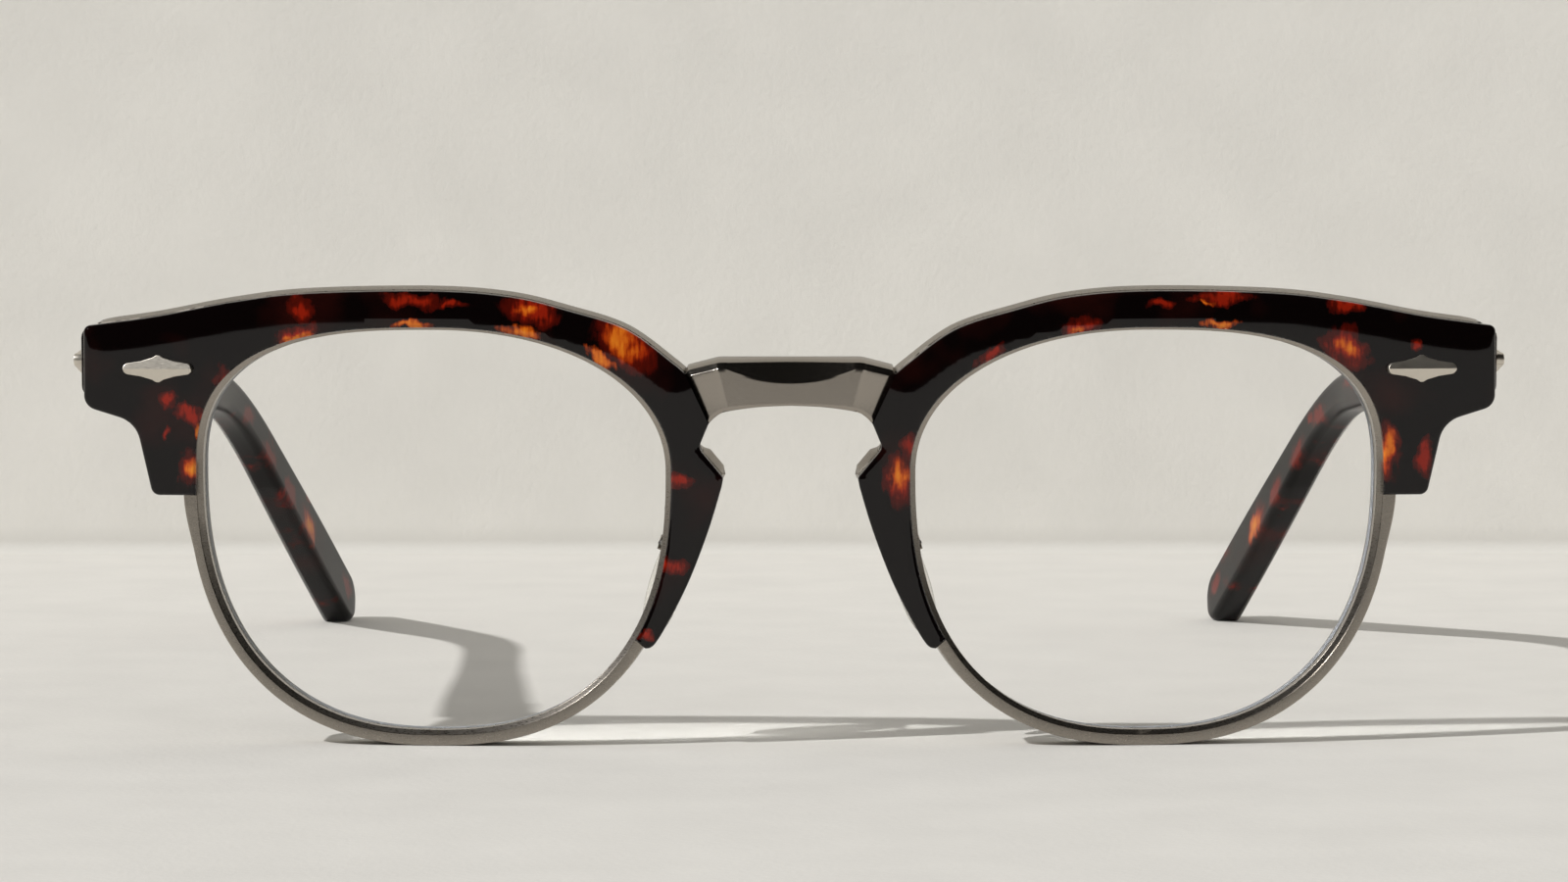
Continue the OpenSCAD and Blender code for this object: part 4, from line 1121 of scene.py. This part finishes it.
def with_mesh(bm, other):
    """Adds one mesh to another, and frees it."""
    mesh = bpy.data.meshes.new("part")
    other.to_mesh(mesh)
    other.free()
    bm.from_mesh(mesh)
    bpy.data.meshes.remove(mesh)
    return bm


def pad_mesh():
    """The cushion, its neck and its lug, placed on the pad's screw."""
    bm = bmesh.new()
    bmesh.ops.create_uvsphere(bm, u_segments=40, v_segments=20, radius=1)
    for v in bm.verts:
        x, y, z = v.co
        flat = math.copysign(abs(x) ** 0.6, x)
        dome = 0.25 * (y * y + z * z)
        v.co = Vector((-PAD_OFF - PAD_T / 2 + flat * 0.92 * PAD_T / 2 + dome,
            y * PAD_W / 2 * (1 - 0.12 * z), -PAD_LOW + z * PAD_L / 2)) * MM
    neck = PAD_OFF + 0.3
    bm = with_mesh(bm, block((neck, LUG_T, 2 * LUG_R), (-neck / 2, 0, 0), 0.05))
    lug = bmesh.new()
    bmesh.ops.create_cone(lug, cap_ends=True, segments=32, radius1=LUG_R * MM, radius2=LUG_R * MM,
        depth=LUG_T * MM, matrix=Matrix.Rotation(math.radians(90), 4, "X"))
    bm = with_mesh(bm, lug)
    bmesh.ops.transform(bm, verts=bm.verts, matrix=pad_turn)
    return bm


# Clear silicone: faintly milky, with a soft gloss and little bending of what lies behind it.
silicone, _ = new_material("clear silicone", Base_Color=linear("#F6F4EE"), Roughness=0.12, IOR=1.3,
    Transmission_Weight=0.92)
for name, side in SIDES:
    add_piece(name + "_silicone_pad", pad_mesh(), silicone, name + "_nose_pad",
        [name + "_nose_pad"], side)


# Pad arms: titanium wire, soldered to the back of the rim and bent down to a small box whose
# cheeks hold the pad's lug.
WIRE_R = 0.46
CHEEK = (1.0, 0.22, 1.4)
CHEEK_OUT = LUG_T / 2 + 0.05 + CHEEK[1] / 2
BOX_OUT = CHEEK_OUT + CHEEK[1] / 2
BOX_TOP = 0.3
BOX_BACK = 0.15
BOX_EDGE = 0.06
ARM_IN = 0.35
ARM_ROOT = ((-0.2, -18.2), (1.1, -18.15), (2.5, -18.5))


def wire_mesh(points, radius):
    """Round wire along points."""
    bm = bmesh.new()
    rows = []
    for i, p in enumerate(points):
        way = (points[min(i + 1, len(points) - 1)] - points[max(i - 1, 0)]).normalized()
        side_way = way.cross(Vector((0, 0, 1))).normalized()
        other = way.cross(side_way)
        rows.append([(p + (side_way * math.cos(a) + other * math.sin(a)) * radius) * MM
            for a in (math.radians(d) for d in range(0, 360, 24))])
    bridge_rows(bm, rows)
    return bm


def arm_mesh():
    """The wire from the back of the rim down to its box."""
    x = nasal_x - ARM_IN
    back = front_y + wrapped(x, 0) + RIM_SET + RIM_DEPTH
    over, end = ((pad_turn @ (Vector((-0.1, 0, up)) * MM)) / MM for up in (2.1, 0.75))
    root = [(x, back + y, top_z + z) for y, z in ARM_ROOT]
    bm = wire_mesh(flowing(root + [over, end], 6), WIRE_R)
    box = block((CHEEK[0], 2 * BOX_OUT, BOX_TOP), (-BOX_BACK, 0, CHEEK[2] / 2), BOX_EDGE)
    for out in (-CHEEK_OUT, CHEEK_OUT):
        box = with_mesh(box, block(CHEEK, (-BOX_BACK, out, 0), BOX_EDGE))
    bmesh.ops.transform(box, verts=box.verts, matrix=pad_turn)
    return with_mesh(bm, box)


for name, side in SIDES:
    add_piece(name + "_wire_pad_arm", arm_mesh(), polished, "front",
        [name + "_pad_arm"], side)


# Pad screws: slim steel screws, turned and slotted, through the boxes and the lugs of the
# pads.
SCREW_R = 0.28
SCREW_HEAD_R = 0.38
SCREW_HEAD = 0.14
SLOT_W = 0.14
SLOT_DEEP = 0.09
STEEL_HEX = "#B7B4AE"


def pad_screw_mesh():
    """A turned shank and head, with a slot across the head."""
    bm = bmesh.new()
    top = BOX_OUT + SCREW_HEAD
    profile = [bm.verts.new((r * MM, y * MM, 0)) for r, y in ((0, -BOX_OUT - 0.04),
        (SCREW_R, -BOX_OUT - 0.04), (SCREW_R, BOX_OUT), (SCREW_HEAD_R, BOX_OUT),
        (SCREW_HEAD_R, top - 0.06), (SCREW_HEAD_R - 0.06, top), (0, top))]
    edges = [bm.edges.new(pair) for pair in zip(profile, profile[1:])]
    bmesh.ops.spin(bm, geom=profile + edges, axis=(0, 1, 0), cent=(0, 0, 0), dvec=(0, 0, 0),
        angle=math.tau, steps=32, use_merge=True)
    bmesh.ops.remove_doubles(bm, verts=bm.verts, dist=1e-7)
    for z in (-SLOT_W / 2, SLOT_W / 2):
        for step in (-0.01, 0.01):
            cut_along(bm, (0, 0, (z + step) * MM), (0, 0, 1))
    for v in bm.verts:
        if v.co.y > (top - 0.03) * MM and abs(v.co.z) < SLOT_W / 2 * MM:
            v.co.y -= SLOT_DEEP * MM
    bmesh.ops.transform(bm, verts=bm.verts, matrix=pad_turn)
    return bm


# Turned stainless steel: bright and a little whiter than the titanium.
steel = satin_metal("bright screw steel", STEEL_HEX, 0.2, 0.2, 0.08)
for name, side in SIDES:
    even_shading(add_piece(name + "_slotted_pad_screw", pad_screw_mesh(), steel, "front",
        [name + "_pad_screw"], side))


# The small metal parts keep their milled solids: endpieces, hinges, locks, cores and screws,
# in the same satin titanium or in bright steel.
STEEL_PARTS = ("screw", "screws", "core")
for name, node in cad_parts.items():
    if node.hide_render:
        continue
    bright = name.split("_")[-1] in STEEL_PARTS
    node.data.materials.clear()
    node.data.materials.append(steel if bright else pewter)
